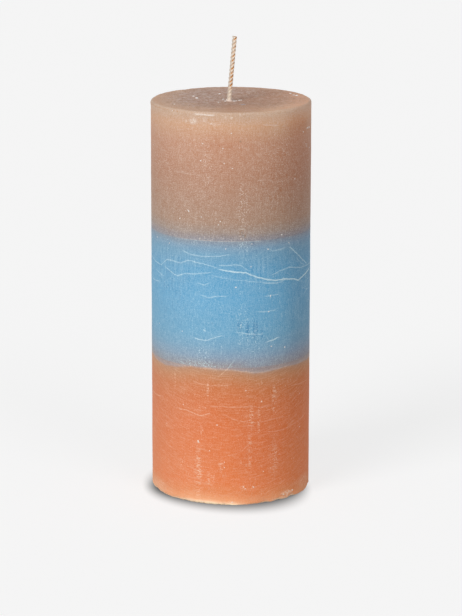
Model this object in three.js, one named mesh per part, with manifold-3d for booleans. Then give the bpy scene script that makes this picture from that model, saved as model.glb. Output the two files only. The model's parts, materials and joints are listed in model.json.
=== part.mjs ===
// A rustic pillar candle in millimetres, +Z up, standing on Z = 0 with the axis of its wax on Z.
// Three colours of wax are cast one on another round a cotton wick, and a stamped steel
// sustainer grips the foot of the wick in a recess under the candle.
import * as THREE from "three";
import { mergeVertices } from "three/addons/utils/BufferGeometryUtils.js";
import Module from "manifold-3d";

const wasm = await Module();
wasm.setup();

// Wax body: its diameter, and the height of each pour at the wall, from the foot up
const BODY_DIAMETER = 70;
const BASE_POUR_HEIGHT = 62;
const MIDDLE_POUR_HEIGHT = 56;
const TOP_POUR_HEIGHT = 56;
// Wax shrinks as it sets, so each pour sinks round the wick and the next one fills the sink
const SINK_DEPTH = 3;

// Top face: rounded shoulder, shallow dish, and the collar of wax that creeps up the wick
const SHOULDER_RADIUS = 1.2;
const DISH_DEPTH = 0.8;
const COLLAR_REACH = 1.6;
const COLLAR_HEIGHT = 1.2;

// Foot: a worn edge of uneven width and height round the flat that the candle stands on
const FOOT_EDGE_WIDTH = 1.4;
const FOOT_EDGE_HEIGHT = 1.6;
const FOOT_UNEVENNESS = 0.45;
const FOOT_WAVES = [
  { lobes: 3, part: 0.4, phase: 0.6 },
  { lobes: 7, part: 0.35, phase: 2.1 },
  { lobes: 13, part: 0.25, phase: 4 },
];

// Wick: a cotton cord of twisted strands, which leans where it stands free
const WICK_DIAMETER = 2;
const WICK_STANDOUT = 29;
const WICK_EXIT_OFFSET = -0.8;
const WICK_LEAN_DEG = 5;
const WICK_BEND_HEIGHT = 3;
const WICK_STRANDS = 3;
const WICK_LAY = 5.5;
const WICK_GROOVE_DEPTH = 0.25;
const WICK_SOAKED_HEIGHT = 4;
const WICK_TIP_CUT_DEG = 12;
const WICK_CLEARANCE = 0.3;

// Sustainer: a round steel foot plate with a raised middle and a neck crimped on the wick
const PLATE_DIAMETER = 15;
const PLATE_FLANGE_WIDTH = 1.6;
const PLATE_RISE = 0.6;
const PLATE_SLOPE_WIDTH = 0.9;
const SHEET_THICKNESS = 0.3;
const NECK_HEIGHT = 6;
const NECK_ROOT_RADIUS = 0.5;
const CRIMP_CLEARANCE = 0.1;
const CRIMP_LENGTH = 2.4;
const CRIMP_BELOW_RIM = 0.9;
const RECESS_DEPTH = 1.2;
const RECESS_CLEARANCE = 0.3;

// Finishes, with colours as the photograph shows them
const WAX_ROUGHNESS = 0.6;
const BASE_WAX = { color: 0xe08a5c, roughness: WAX_ROUGHNESS, metalness: 0 };
const MIDDLE_WAX = { color: 0x7fb4d4, roughness: WAX_ROUGHNESS, metalness: 0 };
const TOP_WAX = { color: 0xbe977c, roughness: WAX_ROUGHNESS, metalness: 0 };
const COTTON = { color: 0xdcc8b2, roughness: 0.85, metalness: 0 };
const TINPLATE = { color: 0xc4c6c8, roughness: 0.35, metalness: 1 };

// Facets
const BODY_FACETS = 72;
const NECK_FACETS = 32;
const STRAND_FACETS = 6;
const RINGS_PER_LAY = 12;
const ARC_STEPS = 5;
const FACE_STEPS = 5;
const SAME_PLACE = 1e-3;

const bodyRadius = BODY_DIAMETER / 2;
const footRadius = bodyRadius - FOOT_EDGE_WIDTH;
const middleStart = BASE_POUR_HEIGHT;
const topStart = middleStart + MIDDLE_POUR_HEIGHT;
const bodyHeight = topStart + TOP_POUR_HEIGHT;

const wickRadius = WICK_DIAMETER / 2;
const boreRadius = wickRadius + WICK_CLEARANCE;
const exitHeight = bodyHeight - DISH_DEPTH;
const wickTop = bodyHeight + WICK_STANDOUT;

const plateRadius = PLATE_DIAMETER / 2;
const slopeOuter = plateRadius - PLATE_FLANGE_WIDTH;
const slopeInner = slopeOuter - PLATE_SLOPE_WIDTH;
const plateTop = RECESS_DEPTH;
const plateUnderside = plateTop - SHEET_THICKNESS;
const neckTop = plateTop + NECK_HEIGHT;
const neckOuter = boreRadius + SHEET_THICKNESS;
const crimpTop = neckTop - CRIMP_BELOW_RIM;
const crimpFoot = crimpTop - CRIMP_LENGTH;
const crimpMiddle = (crimpTop + crimpFoot) / 2;
const crimpSqueeze = 1 - (wickRadius + CRIMP_CLEARANCE) / boreRadius;
const wickFoot = plateUnderside + PLATE_RISE;

const point = (r, z) => new THREE.Vector2(r, z);

// A closed manifold-3d solid from a closed geometry, with its seam and poles merged
function solidOf(geometry) {
  const bare = geometry.clone();
  bare.deleteAttribute("normal");
  bare.deleteAttribute("uv");
  const merged = mergeVertices(bare, SAME_PLACE);
  return new wasm.Manifold(
    new wasm.Mesh({
      numProp: 3,
      vertProperties: new Float32Array(merged.getAttribute("position").array),
      triVerts: new Uint32Array(merged.index.array),
    }),
  );
}

// The faceted geometry of a solid, with flat normals
function geometryOf(solid) {
  const { vertProperties, triVerts } = solid.getMesh();
  const indexed = new THREE.BufferGeometry()
    .setAttribute("position", new THREE.BufferAttribute(vertProperties, 3))
    .setIndex(new THREE.BufferAttribute(triVerts, 1));
  const flat = indexed.toNonIndexed();
  flat.computeVertexNormals();
  return flat;
}

// A profile of (radius, height) points turned round Z. The points run anticlockwise, with
// the radius to the right and the height up, from axis to axis or back to the first.
function revolve(profile, facets) {
  return new THREE.LatheGeometry(profile, facets).rotateX(Math.PI / 2);
}

// Values of at(share) in equal steps of the share, from first to last
function steps(count, at, first = 0, last = 1) {
  return Array.from({ length: count + 1 }, (_, step) =>
    at(THREE.MathUtils.lerp(first, last, step / count)),
  );
}

// Points of a quarter turn, each at(cosine, sine) of its angle
function quarterArc(at) {
  return steps(ARC_STEPS, (angle) => at(Math.cos(angle), Math.sin(angle)), 0, Math.PI / 2);
}

// Moves each vertex of a geometry to where move(vertex) puts it
function warp(geometry, move) {
  const positions = geometry.getAttribute("position");
  const vertex = new THREE.Vector3();
  for (let i = 0; i < positions.count; i++) {
    move(vertex.fromBufferAttribute(positions, i));
    positions.setXYZ(i, vertex.x, vertex.y, vertex.z);
  }
  return geometry;
}

// A closed skin over a stack of rings of equal counts, each end closed by a fan
function loft(rings) {
  const count = rings[0].length;
  const vertices = rings.flat();
  const index = [];
  for (let row = 0; row + 1 < rings.length; row++) {
    for (let i = 0; i < count; i++) {
      const a = row * count + i;
      const b = row * count + ((i + 1) % count);
      index.push(a, b, a + count, b, b + count, a + count);
    }
  }
  const middleOf = (ring) =>
    ring.reduce((sum, v) => sum.add(v), new THREE.Vector3()).divideScalar(count);
  const foot = vertices.length;
  const tip = foot + 1;
  vertices.push(middleOf(rings[0]), middleOf(rings.at(-1)));
  const lastRow = (rings.length - 1) * count;
  for (let i = 0; i < count; i++) {
    const next = (i + 1) % count;
    index.push(foot, next, i, tip, lastRow + i, lastRow + next);
  }
  return new THREE.BufferGeometry().setFromPoints(vertices).setIndex(index);
}

// Height of a smooth swell or hollow at a share of the way from its middle to its rim
const swell = (height, outward) => height * (1 - outward ** 2) ** 2;

// Top of a pour, from the axis out to the wall: it swells into the sink of the pour above
function pourJoint(wallHeight) {
  return steps(FACE_STEPS, (outward) =>
    point(bodyRadius * outward, wallHeight + swell(SINK_DEPTH, outward)),
  );
}

// Candle's shoulder and dished top face, from the wall in to the axis
function topFace() {
  const dishRadius = bodyRadius - SHOULDER_RADIUS;
  const shoulder = quarterArc((cos, sin) =>
    point(
      dishRadius + SHOULDER_RADIUS * cos,
      bodyHeight - SHOULDER_RADIUS * (1 - sin),
    ),
  );
  const dish = steps(
    FACE_STEPS,
    (outward) =>
      point(dishRadius * outward, bodyHeight - swell(DISH_DEPTH, outward)),
    1,
    0,
  );
  return [...shoulder, ...dish.slice(1)];
}

// Foot of the candle, from the axis out over the flat and up the worn edge
function footFace() {
  const edge = quarterArc((cos, sin) =>
    point(footRadius + FOOT_EDGE_WIDTH * sin, FOOT_EDGE_HEIGHT * (1 - cos)),
  );
  return [point(0, 0), ...edge];
}

// How much larger or smaller than its mean size the worn edge is at an angle
function footWave(angle) {
  const wave = FOOT_WAVES.reduce(
    (sum, { lobes, part, phase }) => sum + part * Math.cos(lobes * angle + phase),
    0,
  );
  return 1 + FOOT_UNEVENNESS * wave;
}

// Stretches the worn edge away from the corner of wall and floor, by the wave at its angle
function wearFoot(vertex) {
  const radius = Math.hypot(vertex.x, vertex.y);
  const above = vertex.z > FOOT_EDGE_HEIGHT + SAME_PLACE;
  const inside = radius < footRadius - SAME_PLACE;
  if (above || inside) return;
  const wave = footWave(Math.atan2(vertex.y, vertex.x));
  const worn = bodyRadius - (bodyRadius - radius) * wave;
  vertex.set(
    (vertex.x * worn) / radius,
    (vertex.y * worn) / radius,
    vertex.z * wave,
  );
}

// X of the wick's centre at a height: upright in the neck of the sustainer, slanted through
// the wax to its exit, and then bent over to its lean
function wickCentre(z) {
  if (z <= exitHeight) {
    const risen = Math.max(z - neckTop, 0) / (exitHeight - neckTop);
    return WICK_EXIT_OFFSET * risen;
  }
  const lean = Math.tan(THREE.MathUtils.degToRad(WICK_LEAN_DEG));
  const bent = Math.min(z - exitHeight, WICK_BEND_HEIGHT);
  const straight = z - exitHeight - bent;
  const shift = lean * (bent ** 2 / (2 * WICK_BEND_HEIGHT) + straight);
  return WICK_EXIT_OFFSET + shift;
}

// A level ring of points round the wick's centre at a height, turned by a start angle
function ringAround(z, count, radiusAt, start = 0) {
  return Array.from({ length: count }, (_, i) => {
    const angle = (2 * Math.PI * i) / count;
    const radius = radiusAt(angle);
    return new THREE.Vector3(
      wickCentre(z) + radius * Math.cos(start + angle),
      radius * Math.sin(start + angle),
      z,
    );
  });
}

// Ring of the twisted cord, which turns with the strands where they show. Wax fills the
// grooves between the strands at the exit, and they open over the soaked height above it.
function strandRing(z) {
  const open = THREE.MathUtils.smoothstep(
    z,
    exitHeight,
    exitHeight + WICK_SOAKED_HEIGHT,
  );
  const radiusAt = (angle) => {
    const crest = Math.abs(Math.sin((WICK_STRANDS * angle) / 2));
    return wickRadius - open * WICK_GROOVE_DEPTH * (1 - crest);
  };
  const twist = (2 * Math.PI * Math.max(z - exitHeight, 0)) / WICK_LAY;
  return ringAround(z, WICK_STRANDS * STRAND_FACETS, radiusAt, twist);
}

function makeWick() {
  const exposed = wickTop - exitHeight;
  const ringCount = Math.round((exposed * RINGS_PER_LAY) / WICK_LAY);
  const heights = steps(ringCount, (z) => z, exitHeight, wickTop);
  const rings = [wickFoot, neckTop, ...heights].map(strandRing);
  const cutSlope = Math.tan(THREE.MathUtils.degToRad(WICK_TIP_CUT_DEG));
  for (const vertex of rings.at(-1)) {
    vertex.z -= cutSlope * (vertex.x - wickCentre(wickTop));
  }
  return solidOf(loft(rings));
}

// Hole that the wick fills, from below the foot to above the collar
function makeBore() {
  const collarTop = exitHeight + COLLAR_HEIGHT;
  const heights = [-neckTop, neckTop, exitHeight, collarTop, wickTop];
  return solidOf(
    loft(heights.map((z) => ringAround(z, NECK_FACETS, () => boreRadius))),
  );
}

// Heights on the neck where its crimp begins, bites and ends
const crimpHeights = [crimpFoot, crimpMiddle, crimpTop];

// Flattens the neck on two sides at its crimp, and bulges it as much on the other two
function crimpNeck(vertex) {
  const away = Math.abs(vertex.z - crimpMiddle) / (CRIMP_LENGTH / 2);
  const squeeze = crimpSqueeze * Math.max(1 - away, 0);
  vertex.x *= 1 - squeeze;
  vertex.y *= 1 + squeeze;
}

// Pressed steel sheet: over its upper face to the neck's rim, and back along its underside
function makeSustainer() {
  const root = quarterArc((cos, sin) =>
    point(
      neckOuter + NECK_ROOT_RADIUS * (1 - sin),
      plateTop + PLATE_RISE + NECK_ROOT_RADIUS * (1 - cos),
    ),
  );
  const profile = [
    point(plateRadius, plateTop),
    point(slopeOuter, plateTop),
    point(slopeInner, plateTop + PLATE_RISE),
    ...root,
    ...crimpHeights.map((z) => point(neckOuter, z)),
    point(neckOuter, neckTop),
    point(boreRadius, neckTop),
    ...crimpHeights.toReversed().map((z) => point(boreRadius, z)),
    point(boreRadius, plateUnderside + PLATE_RISE),
    point(slopeInner, plateUnderside + PLATE_RISE),
    point(slopeOuter, plateUnderside),
    point(plateRadius, plateUnderside),
    point(plateRadius, plateTop),
  ];
  return solidOf(warp(revolve(profile, NECK_FACETS), crimpNeck));
}

// Pocket in the foot: the plate's flange seats on its ceiling, and the rest stands clear
function makePocket() {
  const mouth = plateRadius + RECESS_CLEARANCE;
  const seat = (plateRadius + slopeOuter) / 2;
  const ceiling = plateTop + PLATE_RISE + RECESS_CLEARANCE;
  const shaft = neckOuter * (1 + crimpSqueeze) + RECESS_CLEARANCE;
  const shaftTop = neckTop + RECESS_CLEARANCE;
  const profile = [
    point(0, -plateTop),
    point(mouth, -plateTop),
    point(mouth, plateTop),
    point(seat, plateTop),
    point(slopeOuter, ceiling),
    point(shaft + NECK_ROOT_RADIUS, ceiling),
    point(shaft, ceiling + NECK_ROOT_RADIUS),
    point(shaft, shaftTop),
    point(0, shaftTop),
  ];
  return solidOf(revolve(profile, NECK_FACETS));
}

// Skirt of wax drawn up the wick where it leaves the top face, hollow in profile
function makeCollar() {
  const skirt = steps(ARC_STEPS, (inward) =>
    point(
      wickRadius + COLLAR_REACH * (1 - inward),
      exitHeight + COLLAR_HEIGHT * inward ** 2,
    ),
  );
  const rooted = exitHeight - COLLAR_HEIGHT;
  const profile = [
    point(0, rooted),
    point(wickRadius + COLLAR_REACH, rooted),
    ...skirt,
    point(0, exitHeight + COLLAR_HEIGHT),
  ];
  const collar = revolve(profile, NECK_FACETS);
  return solidOf(collar.translate(WICK_EXIT_OFFSET, 0, 0));
}

function makeBasePour(bore) {
  const profile = [...footFace(), ...pourJoint(middleStart).reverse()];
  const body = solidOf(warp(revolve(profile, BODY_FACETS), wearFoot));
  return body.subtract(bore).subtract(makePocket());
}

function makeMiddlePour(bore) {
  const profile = [...pourJoint(middleStart), ...pourJoint(topStart).reverse()];
  return solidOf(revolve(profile, BODY_FACETS)).subtract(bore);
}

function makeTopPour(bore) {
  const profile = [...pourJoint(topStart), ...topFace()];
  const body = solidOf(revolve(profile, BODY_FACETS));
  return body.add(makeCollar()).subtract(bore);
}

function makeCandle() {
  const bore = makeBore();
  const pieces = [
    ["base_wax_pour", makeBasePour(bore), BASE_WAX],
    ["middle_wax_pour", makeMiddlePour(bore), MIDDLE_WAX],
    ["top_wax_pour", makeTopPour(bore), TOP_WAX],
    ["wick", makeWick(), COTTON],
    ["wick_sustainer", makeSustainer(), TINPLATE],
  ];
  const candle = new THREE.Group();
  for (const [name, solid, finish] of pieces) {
    const material = new THREE.MeshStandardMaterial(finish);
    const mesh = new THREE.Mesh(geometryOf(solid), material);
    mesh.name = name;
    candle.add(mesh);
  }
  return candle;
}

export default makeCandle();
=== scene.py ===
"""A rustic pillar candle: three pours of wax, a twisted wick and its steel sustainer.

Lengths are in metres and +Z is up. The candle stands on Z = 0 with its axis on Z, and its
front faces -Y. Places round the wall are angles from the front, in degrees, + to the right.
"""

import json
import logging
import math
import random
from dataclasses import dataclass
from enum import Enum
from typing import Callable, Sequence, Union

import bmesh
import bpy
from mathutils import Matrix, Vector, noise

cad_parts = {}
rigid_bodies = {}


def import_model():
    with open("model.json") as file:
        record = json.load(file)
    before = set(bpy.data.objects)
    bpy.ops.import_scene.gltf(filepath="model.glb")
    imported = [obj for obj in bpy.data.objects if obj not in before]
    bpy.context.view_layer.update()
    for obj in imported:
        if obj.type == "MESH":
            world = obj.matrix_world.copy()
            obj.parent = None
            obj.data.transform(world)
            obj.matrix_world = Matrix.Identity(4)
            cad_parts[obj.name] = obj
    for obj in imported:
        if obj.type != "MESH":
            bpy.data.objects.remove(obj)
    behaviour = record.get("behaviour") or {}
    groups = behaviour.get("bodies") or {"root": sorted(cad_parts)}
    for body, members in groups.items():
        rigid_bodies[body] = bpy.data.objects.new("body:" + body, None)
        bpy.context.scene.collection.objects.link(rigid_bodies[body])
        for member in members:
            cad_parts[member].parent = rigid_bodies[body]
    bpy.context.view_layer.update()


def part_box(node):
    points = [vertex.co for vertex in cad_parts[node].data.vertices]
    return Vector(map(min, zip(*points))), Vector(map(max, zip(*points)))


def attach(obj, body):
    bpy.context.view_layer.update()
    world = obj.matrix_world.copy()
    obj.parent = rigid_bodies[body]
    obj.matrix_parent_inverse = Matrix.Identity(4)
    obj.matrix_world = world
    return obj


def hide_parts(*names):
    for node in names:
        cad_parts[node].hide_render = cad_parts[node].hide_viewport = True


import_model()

LOG = logging.getLogger("candle")
MM = 0.001
FULL_TURN = 2 * math.pi
BODY = "root"

# The candle's main sizes, as the frame has them
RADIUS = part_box("middle_wax_pour")[1].x
BASE_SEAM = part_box("middle_wax_pour")[0].z
TOP_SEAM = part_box("top_wax_pour")[0].z
TOP_POUR_HEIGHT = 56 * MM
TOP = TOP_SEAM + TOP_POUR_HEIGHT
SINK_DEPTH = 3 * MM

# The wick's path, as the frame has it
WICK_RADIUS = 1 * MM
WICK_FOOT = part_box("wick")[0].z
WICK_TOP = TOP + 27.5 * MM
DISH_DEPTH = 0.8 * MM
WICK_EXIT = TOP - DISH_DEPTH
WICK_EXIT_OFFSET = -0.8 * MM
WICK_LEAN = math.radians(5)
WICK_BEND_HEIGHT = 3 * MM
WICK_LAY = 5.5 * MM

# The sustainer's steps, as the frame has them
PLATE_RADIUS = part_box("wick_sustainer")[1].x
PLATE_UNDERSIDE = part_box("wick_sustainer")[0].z
NECK_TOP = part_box("wick_sustainer")[1].z
SHEET = 0.3 * MM
PLATE_TOP = PLATE_UNDERSIDE + SHEET
PLATE_RISE = 0.6 * MM
SLOPE_OUTER = PLATE_RADIUS - 1.6 * MM
SLOPE_INNER = SLOPE_OUTER - 0.9 * MM
NECK_BORE = WICK_RADIUS + 0.3 * MM
NECK_OUTER = NECK_BORE + SHEET
CRIMP_ROOM = 1.16
CLEARANCE = 0.3 * MM

# How near a vertex lies to a height or a radius that it counts as on it
NEAR = 0.01 * MM

Triple = tuple[float, float, float]
Colour = Triple
Place = tuple[float, float]
Stop = tuple[float, float, int]
Piece = bpy.types.Object
Material = bpy.types.Material

WHITE: Colour = (1, 1, 1)
BLACK: Colour = (0, 0, 0)
LEVEL_ONLY: Triple = (1, 1, 0)


def swell(height: float, outward: float) -> float:
    """Height of a smooth swell at a share of the way from its middle to its rim."""
    return height * (1 - outward**2) ** 2


def bump_at(value: float, middle: float, half_width: float) -> float:
    """One at the middle of a stretch, falling smoothly to zero at its two ends."""
    return swell(1, min(abs(value - middle) / half_width, 1))


def quarter(steps: int) -> list[Place]:
    """Cosine and sine at equal steps through a quarter turn, without its start."""
    turns = [math.pi / 2 * step / steps for step in range(1, steps + 1)]
    return [(math.cos(turn), math.sin(turn)) for turn in turns]


def wick_centre(height: float) -> float:
    """X of the wick's centre: upright in its neck, slanted in the wax, then bent over.

    Args:
        height: Height above the floor.

    Returns:
        The X of the centre there; its Y is zero all the way.
    """
    if height <= WICK_EXIT:
        risen = max(height - NECK_TOP, 0) / (WICK_EXIT - NECK_TOP)
        return WICK_EXIT_OFFSET * risen
    bent = min(height - WICK_EXIT, WICK_BEND_HEIGHT)
    straight = height - WICK_EXIT - bent
    return WICK_EXIT_OFFSET + math.tan(WICK_LEAN) * (bent**2 / (2 * WICK_BEND_HEIGHT) + straight)


def paint(*levels: int) -> Colour:
    """A colour given as it shows on a screen, 0 to 255, turned to linear light."""
    shares = [level / 255 for level in levels]
    return tuple(x / 12.92 if x <= 0.04045 else ((x + 0.055) / 1.055) ** 2.4 for x in shares)


def operator(operation: str, reflected: bool = False) -> Callable[["Socket", "Operand"], "Socket"]:
    """Makes the method of one operator of a socket.

    Args:
        operation: The operation of the Math node, or of the Vector Math node for a vector.
        reflected: Whether the socket is the second of the two operands.

    Returns:
        The method.
    """

    def method(self: "Socket", other: "Operand") -> "Socket":
        """Adds the node that joins the socket with another operand.

        Args:
            other: The other operand.

        Returns:
            The node's output.
        """
        kind = "VectorMath" if self.socket.type in ("VECTOR", "RGBA") else "Math"
        first, second = (other, self) if reflected else (self, other)
        return self.graph.add(kind, {0: first, 1: second}, operation=operation)

    return method


class Socket:
    """An output in a material, with operators that add the nodes of an expression."""

    def __init__(self, graph: "Graph", socket: bpy.types.NodeSocket) -> None:
        """Wraps one output socket of the graph's tree."""
        self.graph = graph
        self.socket = socket

    __add__ = __radd__ = operator("ADD")
    __mul__ = __rmul__ = operator("MULTIPLY")
    __sub__ = operator("SUBTRACT")
    __rsub__ = operator("SUBTRACT", reflected=True)
    __truediv__ = operator("DIVIDE")
    __rtruediv__ = operator("DIVIDE", reflected=True)
    least = operator("MINIMUM")
    most = operator("MAXIMUM")

    def rise(self, low: float, high: float) -> "Socket":
        """A smooth step from 0 at low to 1 at high, or down where low is above high."""
        ends = {"Value": self, "From Min": low, "From Max": high}
        return self.graph.add("MapRange", ends, interpolation_type="SMOOTHSTEP")

    def part(self, axis: str) -> "Socket":
        """The X, Y or Z of a vector."""
        return self.graph.add("SeparateXYZ", {"Vector": self}, axis)

    def length(self) -> "Socket":
        """The length of a vector."""
        return self.graph.add("VectorMath", {0: self}, "Value", operation="LENGTH")

    def toward(self, share: "Operand", other: "Operand") -> "Socket":
        """This colour, moved by a share toward another."""
        return self.graph.blend(share, self, other)

    def tinted(self, share: "Operand", tint: Colour) -> "Socket":
        """This colour, multiplied by a tint where the share is one."""
        return self * self.graph.blend(share, WHITE, tint)


Operand = Union[Socket, float, Sequence[float]]


class Graph:
    """The node tree of one material or world, and the few ways in which nodes are added."""

    def __init__(self, owner: Union[Material, bpy.types.World]) -> None:
        """Starts the tree of a material or world empty."""
        owner.use_nodes = True
        self.tree = owner.node_tree
        self.tree.nodes.clear()

    def add(
        self,
        kind: str,
        inputs: dict[Union[int, str], Operand],
        output: Union[int, str] = 0,
        **settings: object,
    ) -> Socket:
        """Adds a node, sets it and feeds it.

        Args:
            kind: The node's type, without the word that starts the name of every shader node.
            inputs: Values or links of its sockets, by number, identifier or name.
            output: The output to return.
            settings: Its settings, set first; "stops" fills a ramp and "curves" a curve node.

        Returns:
            That output, wrapped.
        """
        node = self.tree.nodes.new("ShaderNode" + kind)
        for name, value in settings.items():
            if name == "stops":
                self._fill_ramp(node.color_ramp, value)
            elif name == "curves":
                self._fill_curves(node.mapping, value)
            else:
                setattr(node, name, value)
        for key, value in inputs.items():
            self._feed(self._find(node.inputs, key), value)
        return Socket(self, self._find(node.outputs, output))

    @staticmethod
    def _find(sockets: Sequence[bpy.types.NodeSocket], key: Union[int, str]) -> bpy.types.NodeSocket:
        """The socket of that identifier, or else of that number or name."""
        return next((socket for socket in sockets if socket.identifier == key), None) or sockets[key]

    def _feed(self, socket: bpy.types.NodeSocket, value: Operand) -> None:
        """Gives an input its link or its value.

        Args:
            socket: The input.
            value: A wrapped output to link, or the value that the input keeps.
        """
        if isinstance(value, Socket):
            self.tree.links.new(value.socket, socket)
        elif socket.type == "RGBA":
            socket.default_value = (*value, 1)
        elif socket.type == "VECTOR" and isinstance(value, (int, float)):
            socket.default_value = (value, value, value)
        else:
            socket.default_value = value

    @staticmethod
    def _fill_ramp(ramp: bpy.types.ColorRamp, stops: Sequence[tuple[float, Colour]]) -> None:
        """Gives a colour ramp its stops.

        Args:
            ramp: The ramp, with the two stops of a new one.
            stops: Each a position and a colour.
        """
        ramp.elements.remove(ramp.elements[1])
        ramp.elements[0].position = stops[0][0]
        ramp.elements[0].color = (*stops[0][1], 1)
        for position, colour in stops[1:]:
            ramp.elements.new(position).color = (*colour, 1)

    @staticmethod
    def _fill_curves(mapping: bpy.types.CurveMapping, curves: Sequence[Sequence[Place]]) -> None:
        """Gives a curve node's first curves their points, joined by straight lines.

        Args:
            mapping: The node's curves, each with the two points of a new one.
            curves: The points of each.
        """
        for curve, points in zip(mapping.curves, curves):
            while len(curve.points) < len(points):
                curve.points.new(0, 0)
            for handle, point in zip(curve.points, points):
                handle.location = point
                handle.handle_type = "VECTOR"
        mapping.extend = "HORIZONTAL"
        mapping.update()

    def place(self) -> Socket:
        """The place of a point in its object's own coordinates."""
        return self.add("TexCoord", {}, "Object")

    def join(self, across: Operand, depth: Operand, height: Operand) -> Socket:
        """A vector of three parts."""
        return self.add("CombineXYZ", {"X": across, "Y": depth, "Z": height})

    def blend(self, share: Operand, low: Operand, high: Operand) -> Socket:
        """A colour between two colours."""
        inputs = {"Factor_Float": share, "A_Color": low, "B_Color": high}
        return self.add("Mix", inputs, "Result_Color", data_type="RGBA")

    def bump(self, height: Operand, depth: float, strength: float) -> Socket:
        """A normal bumped by a height between 0 and 1."""
        return self.add("Bump", {"Height": height, "Distance": depth, "Strength": strength})

    def finish(self, shader: Socket, kind: str = "OutputMaterial") -> None:
        """Makes a shader the surface of the tree's material or world."""
        output = self.tree.nodes.new("ShaderNode" + kind)
        self.tree.links.new(shader.socket, output.inputs["Surface"])


@dataclass(frozen=True)
class Grain:
    """Soft noise: its wave's length in millimetres and stretch, its finer waves and its gain."""

    size: float
    stretch: Triple = (1, 1, 1)
    detail: float = 2
    gain: float = 5

    def at(self, place: Socket) -> Socket:
        """The noise at a place, from 0 to 1 and about a half in the mean."""
        waves = place * tuple(1 / (self.size * MM * longer) for longer in self.stretch)
        return place.graph.add("TexNoise", {"Vector": waves, "Scale": 1.0, "Detail": self.detail})

    def signed(self, place: Socket) -> Socket:
        """The noise stretched about its mean by its gain, from -1 to 1."""
        return ((self.at(place) - 0.5) * self.gain).least(1).most(-1)


# Colours of the wax from the foot up: (millimetres, red, green, blue). The pours bleed into each other
# above their seams, and only the step at each seam is sharp. The palest stops at the foot are worn wax,
# lifted further by painted light on the downward-facing edge.
WAX_COLOURS = (
    (0.0, 252, 237, 204), (0.7, 252, 207, 169), (1.5, 235, 166, 121), (5.0, 225, 138, 87),
    (10.0, 226, 127, 75), (35.0, 221, 120, 70), (46.0, 214, 118, 69), (53.0, 206, 120, 72),
    (57.5, 197, 131, 90), (60.4, 184, 138, 107), (61.0, 168, 152, 151), (62.7, 151, 143, 146),
    (66.4, 136, 157, 179), (71.0, 120, 163, 192), (77.0, 108, 166, 200), (92.0, 104, 169, 208),
    (105.0, 100, 164, 203), (112.0, 113, 161, 192), (115.0, 126, 157, 183), (117.7, 138, 145, 158),
    (118.2, 137, 140, 152), (121.7, 158, 141, 132), (126.0, 169, 137, 117), (147.0, 183, 135, 109),
    (160.0, 196, 145, 117), (168.0, 211, 165, 132), (173.5, 201, 171, 148),
)

# How far below its mean the lower seam shows round the wall: (angle in degrees, millimetres)
SEAM_WANDER = (
    (-79, -0.4), (-55, 1.0), (-42, 0.5), (-30, -0.7), (-16, -0.6), (-7, -0.1), (0, -0.2),
    (8, 0.5), (16, 1.4), (24, 1.6), (33, 0.8), (42, 0.5), (56, 1.0), (72, 1.0),
)

# Grains of the wax: those that drift and cloud its colours, and those of its fine texture
DRIFT = Grain(24)
RIPPLE = Grain(5)
PATCHY = Grain(12, detail=3)
CLOUDS = Grain(9, detail=4)
RELIEF = Grain(1.6)
SOFT = Grain(0.75, detail=1)
CRISP = Grain(0.36, detail=0, gain=7)
UPRIGHT = Grain(0.42, (1, 1, 6), 1)
LEVEL = Grain(0.5, (10, 10, 1))
BARS = Grain(0.8, (1, 5, 14), 1, 6)
DASHES = Grain(0.75, (1, 5, 3), 1, 6)
TICKS = Grain(0.42, (3, 3, 1), 1)
FLAKES = Grain(0.6, detail=1)
DUST = Grain(0.5, detail=0)
DOTS = Grain(1.3, detail=1)
WAVER = Grain(1.8)
BEADS = Grain(0.9)
FROST = Grain(2.2, (1, 1.6, 1), 5)
SPECKS = Grain(0.7, (1, 1.6, 1), 1)


@dataclass(frozen=True)
class Crack:
    """A thin line on the wall, drawn along places of (angle in degrees, height in millimetres)."""

    places: tuple[Place, ...]
    strength: float = 0.6
    width: float = 0.42

    def heights(self) -> list[Place]:
        """Points of (share of a quarter turn, height as a share of the candle's)."""
        return [(angle / 90, height * MM / TOP) for angle, height in self.places]

    def strengths(self) -> list[Place]:
        """How strongly the crack shows along its way, and not at all beyond its ends.

        Returns:
            Points of (share of a quarter turn, strength).
        """
        fade = 1.5 / 90
        first, last = self.places[0][0] / 90, self.places[-1][0] / 90
        inside = [(first + fade, self.strength), (last - fade, self.strength)]
        return [(first - fade, 0), *inside, (last + fade, 0)]


@dataclass(frozen=True)
class Patch:
    """A soft oval on the wall: its middle and its half sizes, in degrees and millimetres."""

    angle: float
    height: float
    half_width: float
    half_height: float
    strength: float = 1.0


@dataclass(frozen=True)
class Spot:
    """A small spot of another colour on the top face, in millimetres from its middle."""

    across: float
    depth: float
    radius: float
    colour: Colour
    strength: float = 0.6


class Mark(Enum):
    """Marks on the wax, which lie at their own places."""

    PALE_LINES = "thin white cracks and scratches"
    # Painted shade along the crease under the rim, where the shoulder meets the wall
    DARK_LINES = "thin creases"
    SPECKLE = "white dots"
    DASHES = "dark upright dashes"
    BARS = "long upright bars, pale and dark"
    STAINS = "small dark stains"
    TICKS = "short level ticks of a scuff"
    # Smeared white wax, and painted highlights under the rim on the left
    SMEARS = "white smears"
    WARMTH = "redder wax"


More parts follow.
